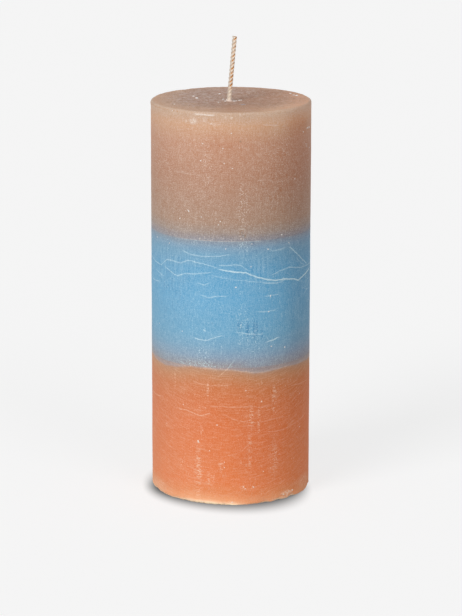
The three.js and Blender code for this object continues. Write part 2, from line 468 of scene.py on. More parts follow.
LINES = {
    Mark.PALE_LINES: (
        Crack(((-37, 112.9), (-31, 111.6), (-22, 111), (-11, 111.3), (-1, 112.3)), 0.4),
        Crack(((-80, 105.7), (-73, 104.7), (-60, 103.9), (-52, 107.4), (-38, 107), (-32, 108.7),
               (-19, 107.8), (-10, 106.4)), 0.43),
        Crack(((-8, 105.8), (-1, 104.9), (11, 104.1), (17, 102.4), (24, 101), (33, 99.8),
               (43, 99.6), (52, 98.6), (57, 97.4), (61, 98.2), (70, 99.3), (80, 100.4)), 0.95, 0.5),
        Crack(((24, 99.2), (33, 98.4), (38, 98.6), (43, 99.5)), 0.4),
        Crack(((55, 107.4), (60, 105.1), (66, 103.3)), 0.3),
        Crack(((36, 113.2), (42, 113.5)), 0.3),
        Crack(((62, 94), (70, 92), (78, 91.2)), 0.25),
        Crack(((66, 90), (73, 92.5), (80, 96.5)), 0.25),
        Crack(((-54, 103.8), (-44, 101.5), (-41, 101.1), (-35, 102.6), (-24, 103.2),
               (-14, 104.3)), 0.47),
        Crack(((-8, 107.6), (-2, 107.4), (2, 107.9), (7, 107.6), (10, 106.1), (13, 105)), 0.42),
        Crack(((30, 102.3), (37, 103.6), (46, 104.5), (51, 103.8), (60, 102.9), (70, 102.6),
               (82, 102.3)), 0.42),
        Crack(((47, 113.2), (52, 111), (57, 108.7), (63, 106), (70, 103.6)), 0.6, 0.45),
        Crack(((28, 114), (31, 112.9), (39, 112.9)), 0.33),
        Crack(((-24, 99.1), (-19, 98.5), (-15, 99.6)), 0.4),
        Crack(((-13, 102.8), (-4, 101.9), (5, 101.1), (35, 98.5)), 0.25),
        Crack(((-22, 93.9), (-19, 93.5), (-16, 93), (-11, 93.8), (-3, 94)), 0.4),
        Crack(((25, 93.2), (30, 93.4), (36, 93.2)), 0.35),
        Crack(((-27, 74.6), (-22, 74.1), (-18, 73.9), (-9, 75.9), (-6, 76.3)), 0.55),
        Crack(((4, 77.9), (11, 77.3), (17, 76.5), (23, 76.7)), 0.4),
        Crack(((26, 72.7), (31, 73.3), (36, 74.2)), 0.7, 0.5),
        Crack(((19, 86.9), (24, 86.3), (34, 86.7)), 0.35),
        Crack(((-81, 96), (-71, 95.8), (-63, 96.3)), 0.4),
        Crack(((-66, 100.8), (-57, 99.4)), 0.35),
        Crack(((-20, 61.6), (-1, 61.2), (8, 60.5), (16, 59.7), (24, 59.5), (33, 60.2),
               (46, 60.5)), 0.22),
        Crack(((-38, 118.1), (-24, 118), (-10, 118.1), (3, 118), (14, 117.9), (22, 117.8)), 0.22, 0.4),
        Crack(((-8.3, 58.1), (-1.9, 62), (2.4, 65.4)), 0.42, 0.48),
        Crack(((-27, 55), (-21.7, 54.3), (-15.4, 53.9), (-7.4, 54.3), (-0.7, 54.4)), 0.28, 0.34),
        Crack(((50, 51), (61, 50.6), (73, 50.4)), 0.3, 0.36),
        Crack(((-14, 44.5), (-6, 44.9), (0, 44.6), (9.7, 44.5), (15.9, 44.8), (22, 43.5),
               (30, 44.5)), 0.28, 0.36),
        Crack(((-42, 41.6), (-33, 41.7), (-27, 40.6), (-23, 40), (-20, 40.2), (-15.7, 41.4)), 0.42, 0.4),
        Crack(((-4, 41.3), (1.8, 39), (7.3, 38.2), (14, 37.2), (21.7, 37.2), (31, 37.9),
               (42, 37.9)), 0.25, 0.34),
        Crack(((25.7, 32.5), (34, 32.1), (42, 32.3), (53, 33.4), (67, 34.9), (73, 36.3)), 0.24, 0.34),
        Crack(((-5.5, 22.2), (2.5, 23.1), (7.3, 24.3), (12.8, 27.1)), 0.2, 0.34),
        Crack(((-79, 44.6), (-69, 44.2), (-61, 44.6)), 0.4),
        # Painted highlight: a white line along the shoulder's edge on the left, where the key lamp glints
        Crack(((-26, 172.8), (-21, 172.8), (-16, 172.6), (-12, 172.7)), 0.85, 0.5),
        Crack(((23, 168.3), (31, 167.8), (35, 167.4)), 0.4),
        Crack(((-43, 146.9), (-36, 146.8), (-27.6, 146.4), (-21, 146.6)), 0.16),
        Crack(((20, 144.3), (27, 144.2), (32, 143.1), (40, 142.8), (46, 144.1)), 0.16),
    ),
    # Painted shade: a dark line under the rim on the left, where the shoulder meets the wall
    Mark.DARK_LINES: (Crack(((-86, 173), (-60, 173.05), (-37, 173)), 0.5, 0.5),),
}

PATCHES = {
    Mark.SPECKLE: (
        Patch(9, 116, 6, 7, 0.75), Patch(8.6, 132, 5.5, 15, 0.75), Patch(36, 155, 16, 16, 0.45),
        Patch(-17, 150, 5.5, 16, 0.6), Patch(5, 86, 14, 9, 0.4), Patch(12, 79, 13, 7, 0.6),
        Patch(14, 72, 15, 5, 0.45), Patch(-20, 68, 9, 6.5, 0.5), Patch(-22, 62.8, 32, 2.4, 0.85),
        Patch(74, 98, 12, 10, 0.6), Patch(46, 116, 6, 4, 0.5), Patch(-16, 119, 40, 1.6, 0.4),
        Patch(33, 20, 7, 11, 0.5), Patch(-55, 146, 20, 12, 0.3),
    ),
    Mark.DASHES: (
        Patch(-48, 94, 28, 26, 1.1), Patch(-24, 113, 34, 5, 0.5), Patch(30, 106, 22, 9, 0.5),
        Patch(62, 92, 18, 22, 0.6), Patch(-30, 66, 40, 5, 0.3), Patch(9, 121, 5, 4),
        Patch(-55, 140, 26, 24, 0.5), Patch(45, 140, 34, 26, 0.6),
    ),
    Mark.BARS: (
        Patch(-46, 106, 28, 15, 1.1), Patch(18, 106, 18, 13, 0.9), Patch(-50, 128, 30, 12, 0.4),
        Patch(60, 84, 22, 20, 0.5), Patch(40, 138, 40, 24, 0.3),
    ),
    Mark.STAINS: (
        Patch(15, 117.2, 2.6, 0.5, 0.8), Patch(-13.3, 81.8, 0.8, 0.6), Patch(5.4, 80.5, 1.2, 3.4, 0.8),
        Patch(7.3, 80.8, 1, 3.2), Patch(12.1, 79, 1.7, 5, 1.1), Patch(16.9, 78.6, 1.2, 6, 1.6),
        Patch(18.9, 79.2, 1.1, 5, 1.3), Patch(22.6, 77, 1.2, 4, 0.6), Patch(6.6, 161.5, 1, 0.6, 0.6),
        Patch(9, 120.5, 1.2, 0.5, 0.6), Patch(7.5, 122, 0.8, 0.5, 0.6), Patch(12, 119, 1.4, 0.4, 0.5),
    ),
    Mark.TICKS: (
        Patch(-23.8, 14, 4.2, 16), Patch(-14.5, 11.5, 4.5, 6.5, 0.6), Patch(-6.8, 18.5, 3.2, 3, 0.7),
        Patch(15, 41, 2.2, 6.5), Patch(14, 26, 2.4, 18, 0.8), Patch(20.7, 37, 1.6, 11),
        Patch(33, 47, 2.8, 10, 0.9), Patch(33, 20, 6, 11, 0.5), Patch(-43.7, 55, 1.3, 6, 1.1),
        Patch(-20.9, 34, 1.5, 4.5, 1.1), Patch(-16.5, 52, 1.2, 5.5), Patch(10, 8, 3.5, 1.6, 1.2),
    ),
    Mark.SMEARS: (
        # The patches high under the rim on the left, from -34 to 0 degrees, are painted highlights; the
        # rest are smeared white wax
        Patch(-27.6, 169.7, 4.2, 2.2, 0.8), Patch(-33.4, 169.2, 1.4, 0.8, 0.9),
        Patch(-18.7, 170.3, 2.4, 1.3, 0.7), Patch(-13.9, 169, 2.4, 0.5, 0.9),
        Patch(-3.9, 172, 1.7, 0.9, 0.6), Patch(0.2, 171.7, 1.6, 0.9, 0.6),
        Patch(-10, 168.6, 5, 0.7, 0.5), Patch(-18.8, 78.5, 1.7, 1, 0.8),
        Patch(72, 163.4, 6, 0.7, 0.9), Patch(45.4, 2.9, 8, 1.4, 1.2), Patch(-34, 0.8, 14, 0.6, 0.7),
        Patch(40, 0.9, 16, 0.8, 0.8), Patch(1.3, 1.4, 3, 0.5, 0.8), Patch(68, 5, 16, 4.5, 0.45),
        Patch(-66, 4, 18, 4, 0.35),
    ),
    Mark.WARMTH: (
        Patch(56, 166, 20, 7), Patch(48, 148, 34, 22, 0.5), Patch(-5, 162, 24, 6, 0.35),
        Patch(25, 24, 30, 20, 0.5), Patch(-60, 150, 24, 16, 0.3),
    ),
}

FACE_SPOTS = (
    Spot(5.2, -10.5, 1.5, paint(140, 160, 190), 0.7),
    Spot(-14.5, 8.5, 1.1, paint(140, 100, 80)),
    Spot(1.0, 7.3, 1.0, paint(142, 104, 84)),
    Spot(22.5, 23.3, 1.1, paint(150, 110, 86)),
    Spot(-0.6, -24.6, 1.6, paint(190, 116, 84), 0.5),
    Spot(4, -25, 13, paint(190, 140, 108), 0.5),
)


class Wall:
    """Where a point of the wax lies: in space, and round and up the wall.

    What is drawn on the front shows again on the back, turned half round and a little higher.
    """

    back_rise: float = 3.5 * MM
    margin: float = 4
    face_edge: Place = (1.3 * MM, 0.5 * MM)
    patch_core: float = 0.25
    line_waver: float = 0.7 * MM

    def __init__(self, graph: Graph, low: float, high: float, beading: float) -> None:
        """Adds the nodes that work the places out.

        Args:
            graph: The graph of the pour's material.
            low: The pour's foot, in millimetres above the floor.
            high: Its top.
            beading: How much of its thin lines is broken up into beads.
        """
        self.graph = graph
        self.beading = beading
        self.low = low - self.margin
        self.high = high + self.margin
        self.place = graph.place()
        self.height = self.place.part("Z")
        self.across = self.place.part("X")
        self.depth = self.place.part("Y")
        self.radius = (self.place * LEVEL_ONLY).length()
        self.on_wall = self.radius.rise(*[RADIUS - inset for inset in self.face_edge])
        slope = self.across / (0 - self.depth)
        self.turn = graph.add("Math", {0: slope}, operation="ARCTANGENT") / (math.pi / 2)
        self.level = self.height - self.depth.rise(0, NEAR) * self.back_rise
        self.spot = graph.join(self.turn * 90, self.level / MM, 0.0)

    def patches(self, mark: Mark) -> Socket:
        """How thick a mark lies, from the soft ovals of its kind.

        Args:
            mark: The kind of mark.

        Returns:
            Zero outside its ovals.
        """
        total: Operand = 0.0
        for patch in PATCHES[mark]:
            if patch.height + patch.half_height < self.low or patch.height - patch.half_height > self.high:
                continue
            size = (1 / patch.half_width, 1 / patch.half_height, 0.0)
            middle = (-patch.angle * size[0], -patch.height * size[1], 0.0)
            inputs = {0: self.spot, 1: size, 2: middle}
            outward = self.graph.add("VectorMath", inputs, operation="MULTIPLY_ADD").length()
            total = outward.rise(1, self.patch_core) * patch.strength + total
        return self.on_wall * total

    def lines(self, mark: Mark) -> Socket:
        """The thin lines of one kind, a little uneven in their height and strength.

        Args:
            mark: The kind of line.

        Returns:
            How strongly they show.
        """
        uneven = (WAVER.at(self.place) - 0.5) * self.line_waver
        level = (self.level + uneven) / TOP
        beads = BEADS.at(self.place).rise(0.3, 0.6)
        lines = [line for line in LINES[mark] if self.low < line.places[0][1] < self.high]
        total: Operand = 0.0
        for start in range(0, len(lines), 3):
            total = self.three_lines(level, lines[start : start + 3]) + total
        return (1 - self.beading + beads * self.beading) * self.on_wall * total

    def three_lines(self, level: Socket, lines: Sequence[Crack]) -> Socket:
        """Up to three lines at once, one in each part of a vector.

        Args:
            level: The height of a point, as a share of the candle's.
            lines: The lines.

        Returns:
            How strongly they show.
        """
        turn = {"Vector": self.turn}
        heights = self.graph.add("VectorCurve", turn, curves=[line.heights() for line in lines])
        strengths = self.graph.add("VectorCurve", turn, curves=[line.strengths() for line in lines])
        spare = 3 - len(lines)
        used = (1.0,) * len(lines) + (0.0,) * spare
        widths = tuple(line.width * MM / TOP for line in lines) + (1.0,) * spare
        away = self.graph.add("VectorMath", {0: heights - level}, operation="ABSOLUTE")
        ends = {"Vector": away, "From_Min_FLOAT3": widths, "From_Max_FLOAT3": 0.0}
        shown = self.graph.add(
            "MapRange", ends, "Vector", data_type="FLOAT_VECTOR", interpolation_type="SMOOTHSTEP"
        )
        both = {0: shown * used, 1: strengths}
        return self.graph.add("VectorMath", both, "Value", operation="DOT_PRODUCT")


@dataclass(frozen=True)
class Finish:
    """What the candle's finishes share: a node material with one shader."""

    name: str

    def surface(self, graph: Graph) -> dict[str, Operand]:
        """The shader's inputs, by name, which each finish works out in its own way."""
        raise NotImplementedError

    def material(self) -> Material:
        """The finish as a node material.

        Returns:
            The new material.
        """
        material = bpy.data.materials.new(self.name)
        graph = Graph(material)
        graph.finish(graph.add("BsdfPrincipled", self.surface(graph)))
        return material


@dataclass(frozen=True)
class WaxFinish(Finish):
    """Rustic cast wax: mixed colours, pale grain, fine streaks and thin white cracks, with a painted sheen
    on the left and painted shade on the right.
    """

    # The pale colour of bloom, cracks and marks, which the painted sheen and highlights also move toward
    bloom_and_sheen: Colour
    deep: Colour
    low: float
    high: float
    painted_sheen: float
    grain: float
    upright: float
    # Strength of the painted sheen: white laid on the left of the wall where the key lamp's reflection
    # falls
    level: float
    level_bend: float = 0.0
    beading: float = 0.35
    # How strongly the right side of the wall is darkened by painted shade
    painted_side_shade: float = 0.0
    bar_light: float = 0.11
    bar_shade: float = 0.5
    dash_shade: float = 0.65
    pit_shade: float = 0.5
    dot_light: float = 0.35
    tick_light: float = 0.55
    smear_and_glint_light: float = 0.7
    worn_and_painted_light: float = 0.8
    most_bloom_and_sheen: float = 0.9
    stain: Colour = (0.56, 0.74, 0.84)
    warmth: Colour = (0.95, 0.84, 0.76)
    side_shade_tint: Colour = (0.97, 0.89, 0.89)

    def surface(self, graph: Graph) -> dict[str, Operand]:
        """The shader's inputs: what lightens and darkens the wax, laid over its colours.

        Args:
            graph: The material's graph.

        Returns:
            The inputs, by name.
        """
        wall = Wall(graph, self.low, self.high, self.beading)
        patchy = PATCHY.at(wall.place).rise(0.3, 0.7)
        soft = SOFT.signed(wall.place)
        curls = soft * 0.2 + CRISP.signed(wall.place)
        upright = UPRIGHT.signed(wall.place)
        level = self._level_streaks(wall)
        bars = BARS.signed(wall.place) * wall.patches(Mark.BARS)
        dashes = DASHES.signed(wall.place) * wall.patches(Mark.DASHES)

        pale = curls.most(0) * (0.75 + patchy * 0.3) * self.grain + bars.most(0) * self.bar_light
        pale = pale + upright.most(0) * self.upright * 0.6 + level.most(0) * self.level
        pale = pale + self._dots(wall) + wall.lines(Mark.PALE_LINES) + self._scuffs(wall)
        # Painted sheen: white laid over the left of the wall, standing in for the key lamp's reflection
        pale = pale + wall.across.rise(2 * MM, -30 * MM) * self.painted_sheen
        dark = (0 - curls).most(0) * self.grain * 1.15 + (0 - level).most(0) * self.level
        dark = dark + (0 - upright).most(0) * self.upright + (0 - dashes).most(0) * self.dash_shade
        dark = dark + (0 - bars).most(0) * self.bar_shade
        # The crease lines add painted shade under the rim
        dark = dark + self._pits(wall) + wall.lines(Mark.DARK_LINES)

        colour = self._mixed(wall).tinted(wall.patches(Mark.STAINS).least(1), self.stain)
        colour = colour.tinted(dark.least(1), self.deep).toward(pale.least(self.most_bloom_and_sheen), self.bloom_and_sheen)
        relief = soft * 0.3 + RELIEF.at(wall.place) + pale
        return {
            "Base Color": colour,
            "Roughness": 0.55 + pale * 0.2,
            "IOR": 1.43,
            "Specular IOR Level": 0.12,
            "Normal": graph.bump(relief, 0.1 * MM, 0.6),
        }

    def _mixed(self, wall: Wall) -> Socket:
        """The wax's colours, mixed in clouds and warmer in places, darkened on the right side of the wall
        by painted shade.

        Args:
            wall: The places of the wax.

        Returns:
            The colour.
        """
        waver = DRIFT.at(wall.place) * (1.6 * MM) + RIPPLE.at(wall.place) * (0.8 * MM)
        mixed = (wall.height + waver - 1.2 * MM + self._low_seam(wall)) / TOP
        stops = [(level * MM / TOP, paint(*shade)) for level, *shade in WAX_COLOURS]
        colour = wall.graph.add("ValToRGB", {"Fac": mixed}, stops=stops)
        if self.high * MM > TOP - MM:
            colour = self._top_face(wall, colour)
        colour = colour * (0.97 + CLOUDS.at(wall.place) * 0.06)
        colour = colour.tinted(wall.patches(Mark.WARMTH), self.warmth)
        if self.low == 0:
            colour = self._foot(wall, colour)
        # Painted shade: the right side, away from the key lamp, is darkened and deepened in colour
        side = wall.across.rise(20 * MM, 31 * MM) * self.painted_side_shade
        return colour.tinted(side, self.side_shade_tint)

    @staticmethod
    def _low_seam(wall: Wall) -> Socket:
        """How far the lower seam's colours wander up and down round the wall.

        Args:
            wall: The places of the wax.

        Returns:
            The distance.
        """
        reach = 10.0
        points = [(0.5 + angle / 180, 0.5 + drop / reach) for angle, drop in SEAM_WANDER]
        wander = wall.graph.add("FloatCurve", {"Value": wall.turn * 0.5 + 0.5}, curves=[points])
        near = wall.height.rise(66 * MM, 62.5 * MM)
        return (wander - 0.5) * near * (reach * MM)

    def _level_streaks(self, wall: Wall) -> Socket:
        """Noise drawn out along the wall, in arcs that hang down in front where they bend."""
        bend = wall.turn * wall.turn * self.level_bend
        return LEVEL.signed(wall.graph.join(wall.across, wall.depth, wall.height - bend))

    def _dots(self, wall: Wall) -> Socket:
        """White dots, thick in the speckled patches and sparse elsewhere.

        Args:
            wall: The places of the wax.

        Returns:
            How strongly they show.
        """
        thick = wall.patches(Mark.SPECKLE).least(1)
        near = (DUST.at(wall.place) + thick * 0.13).rise(0.68, 0.80) * (0.25 + thick * 0.3)
        return near + DOTS.at(wall.place).rise(0.77, 0.82) * self.dot_light

    def _scuffs(self, wall: Wall) -> Socket:
        """Ticks of the scuffed columns, smeared white wax, and painted highlights under the rim on the
        left.

        Args:
            wall: The places of the wax.

        Returns:
            How strongly they show.
        """
        ticks = TICKS.at(wall.place).rise(0.5, 0.66) * wall.patches(Mark.TICKS).least(1.2)
        flakes = FLAKES.at(wall.place).rise(0.46, 0.58)
        smears_and_glints = wall.patches(Mark.SMEARS) * (0.25 + flakes * 0.75)
        return ticks * self.tick_light + smears_and_glints * self.smear_and_glint_light

    def _pits(self, wall: Wall) -> Socket:
        """Small dark pits, here and there."""
        return DOTS.at(wall.place).rise(0.26, 0.2) * self.pit_shade

    def _foot(self, wall: Wall, colour: Socket) -> Socket:
        """Pales the foot's worn edge, whose colour is also painted light lifting the downward-facing edge
        out of its shade, and dulls its underside.

        Args:
            wall: The places of the wax.
            colour: The colour of the wax.

        Returns:
            The new colour.
        """
        worn = wall.radius.rise(RADIUS - 0.15 * MM, RADIUS - 0.6 * MM) * wall.height.rise(5 * MM, 3 * MM)
        under = wall.radius.rise(RADIUS - 2.5 * MM, RADIUS - 6 * MM) * wall.height.rise(3 * MM, 2 * MM)
        # Worn wax and painted light: the downward-facing edge is paled so that it doesn't render in shade
        colour = colour.toward(worn * self.worn_and_painted_light, paint(252, 222, 184))
        return colour.toward(under, paint(226, 148, 104))

    @staticmethod
    def _top_face(wall: Wall, colour: Socket) -> Socket:
        """Colours the dished top face: mauve and brown in the middle and tan toward its rim, where the
        paler tan is partly painted glow of light through the shoulder; and paints a highlight on the upper
        right of the wall and rim.

        Args:
            wall: The places of the wax.
            colour: The colour of the wall.

        Returns:
            The colour of the wall and the face.
        """
        graph = wall.graph
        patch = CLOUDS.at(wall.place)
        sideways = wall.across - wall.depth * 0.6 + patch * (20 * MM)
        middle = graph.blend(sideways.rise(-12 * MM, 24 * MM), paint(184, 148, 131), paint(175, 131, 105))
        # Toward the rim the face turns a paler tan: partly the tan wax, partly a painted glow of light
        # through the shoulder
        tone = wall.radius + patch * (16 * MM) - wall.depth * 0.24 - wall.across * 0.06
        face = middle.toward(tone.rise(26 * MM, 44 * MM), paint(208, 166, 136))
        inner = wall.radius.rise(34 * MM, 26 * MM)
        left = sideways.rise(20 * MM, -6 * MM)
        frost = FROST.at(wall.place)
        specks = SPECKS.at(wall.place)
        face = face.toward(specks.rise(0.55, 0.72) * inner * (0.2 + left * 0.3), paint(226, 218, 214))
        face = face.toward(specks.rise(0.45, 0.3) * inner * 0.4, paint(150, 106, 82))
        face = face.toward(frost.rise(0.5, 0.68) * inner * (0.2 + left * 0.4), paint(208, 194, 190))
        face = face.toward(frost.rise(0.48, 0.34) * inner * 0.5, paint(154, 110, 85))
        from_wick = (wall.place - (WICK_EXIT_OFFSET, 0.0, WICK_EXIT)).length()
        face = face.toward(from_wick.rise(2.0 * MM, 1.3 * MM), paint(226, 208, 197))
        for spot in FACE_SPOTS:
            away = ((wall.place - (spot.across * MM, spot.depth * MM, TOP)) * (1.0, 0.7, 0.0)).length()
            shown = away.rise(spot.radius * MM, spot.radius * MM * 0.4) * spot.strength
            face = face.toward(shown, spot.colour)
        on_top = (1 - wall.on_wall) * wall.height.rise(TOP - 3 * MM, TOP - 2 * MM)
        # Painted highlight: the upper right of the wall, rim and face lightened where the shoulder turns
        # toward the light
        lit_rim = wall.height.rise(TOP - 10 * MM, TOP) * wall.across.rise(4 * MM, 30 * MM)
        return colour.toward(on_top, face) * (1 + lit_rim * 0.22)


@dataclass(frozen=True)
class CottonFinish(Finish):
    """Twisted cotton soaked in wax: cream strands, a darker copy on the left as painted shade, and amber
    in their grooves on the right that is partly wax and partly painted shade.
    """

    name: str = "waxed_cotton"

    def surface(self, graph: Graph) -> dict[str, Operand]:
        """The shader's inputs, in coordinates that lean with the wick.

        Args:
            graph: The material's graph.

        Returns:
            The inputs, by name.
        """
        tip = {
            "Vector": graph.place(),
            "Location": (wick_centre(WICK_TOP), 0, WICK_TOP),
            "Rotation": (0, WICK_LEAN, 0),
        }
        turned = graph.add("Mapping", tip, vector_type="TEXTURE")
        groove = (turned * LEVEL_ONLY).length().rise(0.925 * MM, 0.885 * MM)
        right = turned.part("X").rise(-0.45 * MM, 0.0)
        fibre = Grain(0.25, (1, 1, 3)).at(turned)
        cream = graph.blend(fibre, paint(218, 200, 180), paint(246, 233, 216))
        # Painted shade: a darker copy of the cream on the wick's left, a lighter one on its right
        cream = (cream * 0.84).toward(right, cream * 1.05)
        bare = turned.part("Z").rise(-25 * MM, -21 * MM)
        amber = Grain(2.5, detail=1).at(turned).rise(0.3, 0.55)
        # Amber in the grooves, on the right only: partly wax, partly painted shade in the grooves
        stain = groove * bare * (0.3 + 0.7 * amber) * right
        return {
            "Base Color": cream.toward(stain, paint(204, 134, 56)),
            "Roughness": 0.6 + fibre * 0.2,
            "Specular IOR Level": 0.3,
            "Normal": graph.bump(fibre, 0.08 * MM, 0.6),
        }


@dataclass(frozen=True)
class TinplateFinish(Finish):
    """Thin tinned steel with the fine marks of its rolling and pressing."""

    name: str = "rolled_tinplate"

    def surface(self, graph: Graph) -> dict[str, Operand]:
        """The shader's inputs.

        Args:
            graph: The material's graph.

        Returns:
            The inputs, by name.
        """
        rolled = Grain(0.25, (14, 1, 1), 3).at(graph.place())
        cloudy = Grain(2.5, detail=3).at(graph.place())
        return {
            "Base Color": graph.blend(cloudy, paint(176, 178, 181), paint(206, 208, 209)),
            "Metallic": 1.0,
            "Roughness": 0.24 + rolled * 0.16 + cloudy * 0.1,
            "Normal": graph.bump(rolled, 0.01 * MM, 0.4),
        }


@dataclass(frozen=True)
class CrumbFinish(Finish):
    """Small pale crumbs of wax, which take a little orange low on the candle."""

    name: str = "wax_crumb"

    def surface(self, graph: Graph) -> dict[str, Operand]:
        """The shader's inputs.

        Args:
            graph: The material's graph.

        Returns:
            The inputs, by name.
        """
        mottle = Grain(0.5, detail=3).at(graph.place())
        colour = graph.blend(mottle, paint(220, 216, 212), paint(246, 244, 240))
        low = graph.place().part("Z").rise(62 * MM, 56 * MM)
        return {
            "Base Color": colour.toward(low * 0.55, paint(244, 206, 176)),
            "Roughness": 0.45 + mottle * 0.2,
            "Specular IOR Level": 0.35,
            "Normal": graph.bump(mottle, 0.05 * MM, 0.4),
        }


class Bench:
    """The modelling steps that the candle's pieces share."""

    @staticmethod
    def clear() -> None:
        """Leaves edit mode and deselects every object."""
        if bpy.context.object and bpy.context.object.mode != "OBJECT":
            bpy.ops.object.mode_set(mode="OBJECT")
        bpy.ops.object.select_all(action="DESELECT")

    @staticmethod
    def take(*pieces: Piece) -> None:
        """Selects some pieces alone, in object mode, and makes the last one active.

        Args:
            pieces: The pieces.
        """
        Bench.clear()
        for piece in pieces:
            piece.select_set(True)
            bpy.context.view_layer.objects.active = piece

    @staticmethod
    def edit(piece: Piece) -> None:
        """Opens a piece in edit mode, with vertices to pick and all of it selected.

        Args:
            piece: The piece.
        """
        Bench.take(piece)
        bpy.ops.object.mode_set(mode="EDIT")
        bpy.ops.mesh.select_mode(type="VERT")
        bpy.ops.mesh.select_all(action="SELECT")

    @staticmethod
    def start(name: str) -> Piece:
        """Names the object that was just added, moves its place into its mesh and opens it.

        Args:
            name: The new piece's name.

        Returns:
            The piece, in edit mode with all of it selected.
        """
        piece = bpy.context.object
        piece.name = name
        bpy.ops.object.transform_apply(location=True, rotation=True, scale=True)
        Bench.edit(piece)
        return piece

    @staticmethod
    def close() -> None:
        """Turns every face of the open piece outward and leaves edit mode."""
        bpy.ops.mesh.select_all(action="SELECT")
        bpy.ops.mesh.normals_make_consistent(inside=False)
        bpy.ops.object.mode_set(mode="OBJECT")

    @staticmethod
    def pick(piece: Piece, chosen: Callable[[Vector], bool]) -> None:
        """Selects, in edit mode, the vertices whose places are chosen.

        Args:
            piece: The piece that is open in edit mode.
            chosen: Says whether the vertex at a place is wanted.
        """
        bpy.ops.mesh.select_all(action="DESELECT")
        mesh = bmesh.from_edit_mesh(piece.data)
        for vertex in mesh.verts:
            vertex.select_set(chosen(vertex.co))
        mesh.select_flush(True)
        bmesh.update_edit_mesh(piece.data)

    @staticmethod
    def trace(name: str, stops: Sequence[Stop]) -> Piece:
        """Draws a profile in the XZ plane by extruding one vertex from stop to stop.

        Args:
            name: The new piece's name.
            stops: Each a radius, a height and the number of equal steps taken to reach it.

        Returns:
            The piece, left open in edit mode with all of it selected.
        """
        Bench.clear()
        at = Vector((stops[0][0], 0, stops[0][1]))
        bpy.ops.mesh.primitive_plane_add(size=MM, location=at)
        piece = Bench.start(name)
        bpy.ops.mesh.merge(type="CENTER")
        for radius, height, count in stops[1:]:
            step = (Vector((radius, 0, height)) - at) / count
            for _ in range(count):
                bpy.ops.mesh.extrude_region_move(TRANSFORM_OT_translate={"value": step})
            at = Vector((radius, 0, height))
        bpy.ops.mesh.select_all(action="SELECT")
        return piece

    @staticmethod
    def turn(steps: int) -> None:
        """Spins the open profile once round Z and closes its seam, its ends and its poles.

        Args:
            steps: How many facets go round.
        """
        bpy.ops.mesh.spin(steps=steps, angle=FULL_TURN, center=(0, 0, 0), axis=(0, 0, 1))
        bpy.ops.mesh.select_all(action="SELECT")
        bpy.ops.mesh.remove_doubles(threshold=0.002 * MM)
        Bench.close()

    @staticmethod
    def weather(piece: Piece, size: float, depth: float, weight: Callable[[Vector], float]) -> None:
        """Makes a surface uneven with an applied Displace modifier.

        Args:
            piece: The piece, in object mode.
            size: The length of one wave.
            depth: How far the surface moves in all.
            weight: The share of the move that a place takes.
        """
        group = piece.vertex_groups.new(name="worn")
        for vertex in piece.data.vertices:
            group.add([vertex.index], weight(vertex.co), "REPLACE")
        texture = bpy.data.textures.new("uneven", "CLOUDS")
        texture.noise_scale = size
        texture.noise_depth = 2
        modifier = piece.modifiers.new("uneven", "DISPLACE")
        modifier.texture = texture
        modifier.texture_coords = "LOCAL"
        modifier.vertex_group = group.name
        modifier.strength = depth
        modifier.mid_level = 0.5
        Bench.take(piece)
        bpy.ops.object.modifier_apply(modifier=modifier.name)
        piece.vertex_groups.clear()
        bpy.data.textures.remove(texture)

    @staticmethod
    def smooth(piece: Piece, sharp_from: float = 40) -> None:
        """Shades a piece smooth, except at edges sharper than an angle in degrees."""
        Bench.take(piece)
        bpy.ops.object.shade_smooth_by_angle(angle=math.radians(sharp_from))

    @staticmethod
    def hand_over(piece: Piece, finish: Finish, slot: str, *nodes: str) -> None:
        """Dresses a finished piece, sets it on the candle's body and hides the CAD nodes that it stands
        for.

        Args:
            piece: The piece, with its place in its mesh.
            finish: The finish that covers it.
            slot: The record's slot of that finish; not used.
            nodes: The CAD nodes that it stands for.
        """
        piece.data.materials.clear()
        piece.data.materials.append(finish.material())
        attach(piece, BODY)
        if nodes:
            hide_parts(*nodes)
        LOG.info("%s: %d faces, %s", piece.name, len(piece.data.polygons), finish.name)


@dataclass(frozen=True)
class Chip:
    """A place on the foot's edge that has worn more than the rest, in degrees."""

    angle: float
    half_width: float
    bite: float


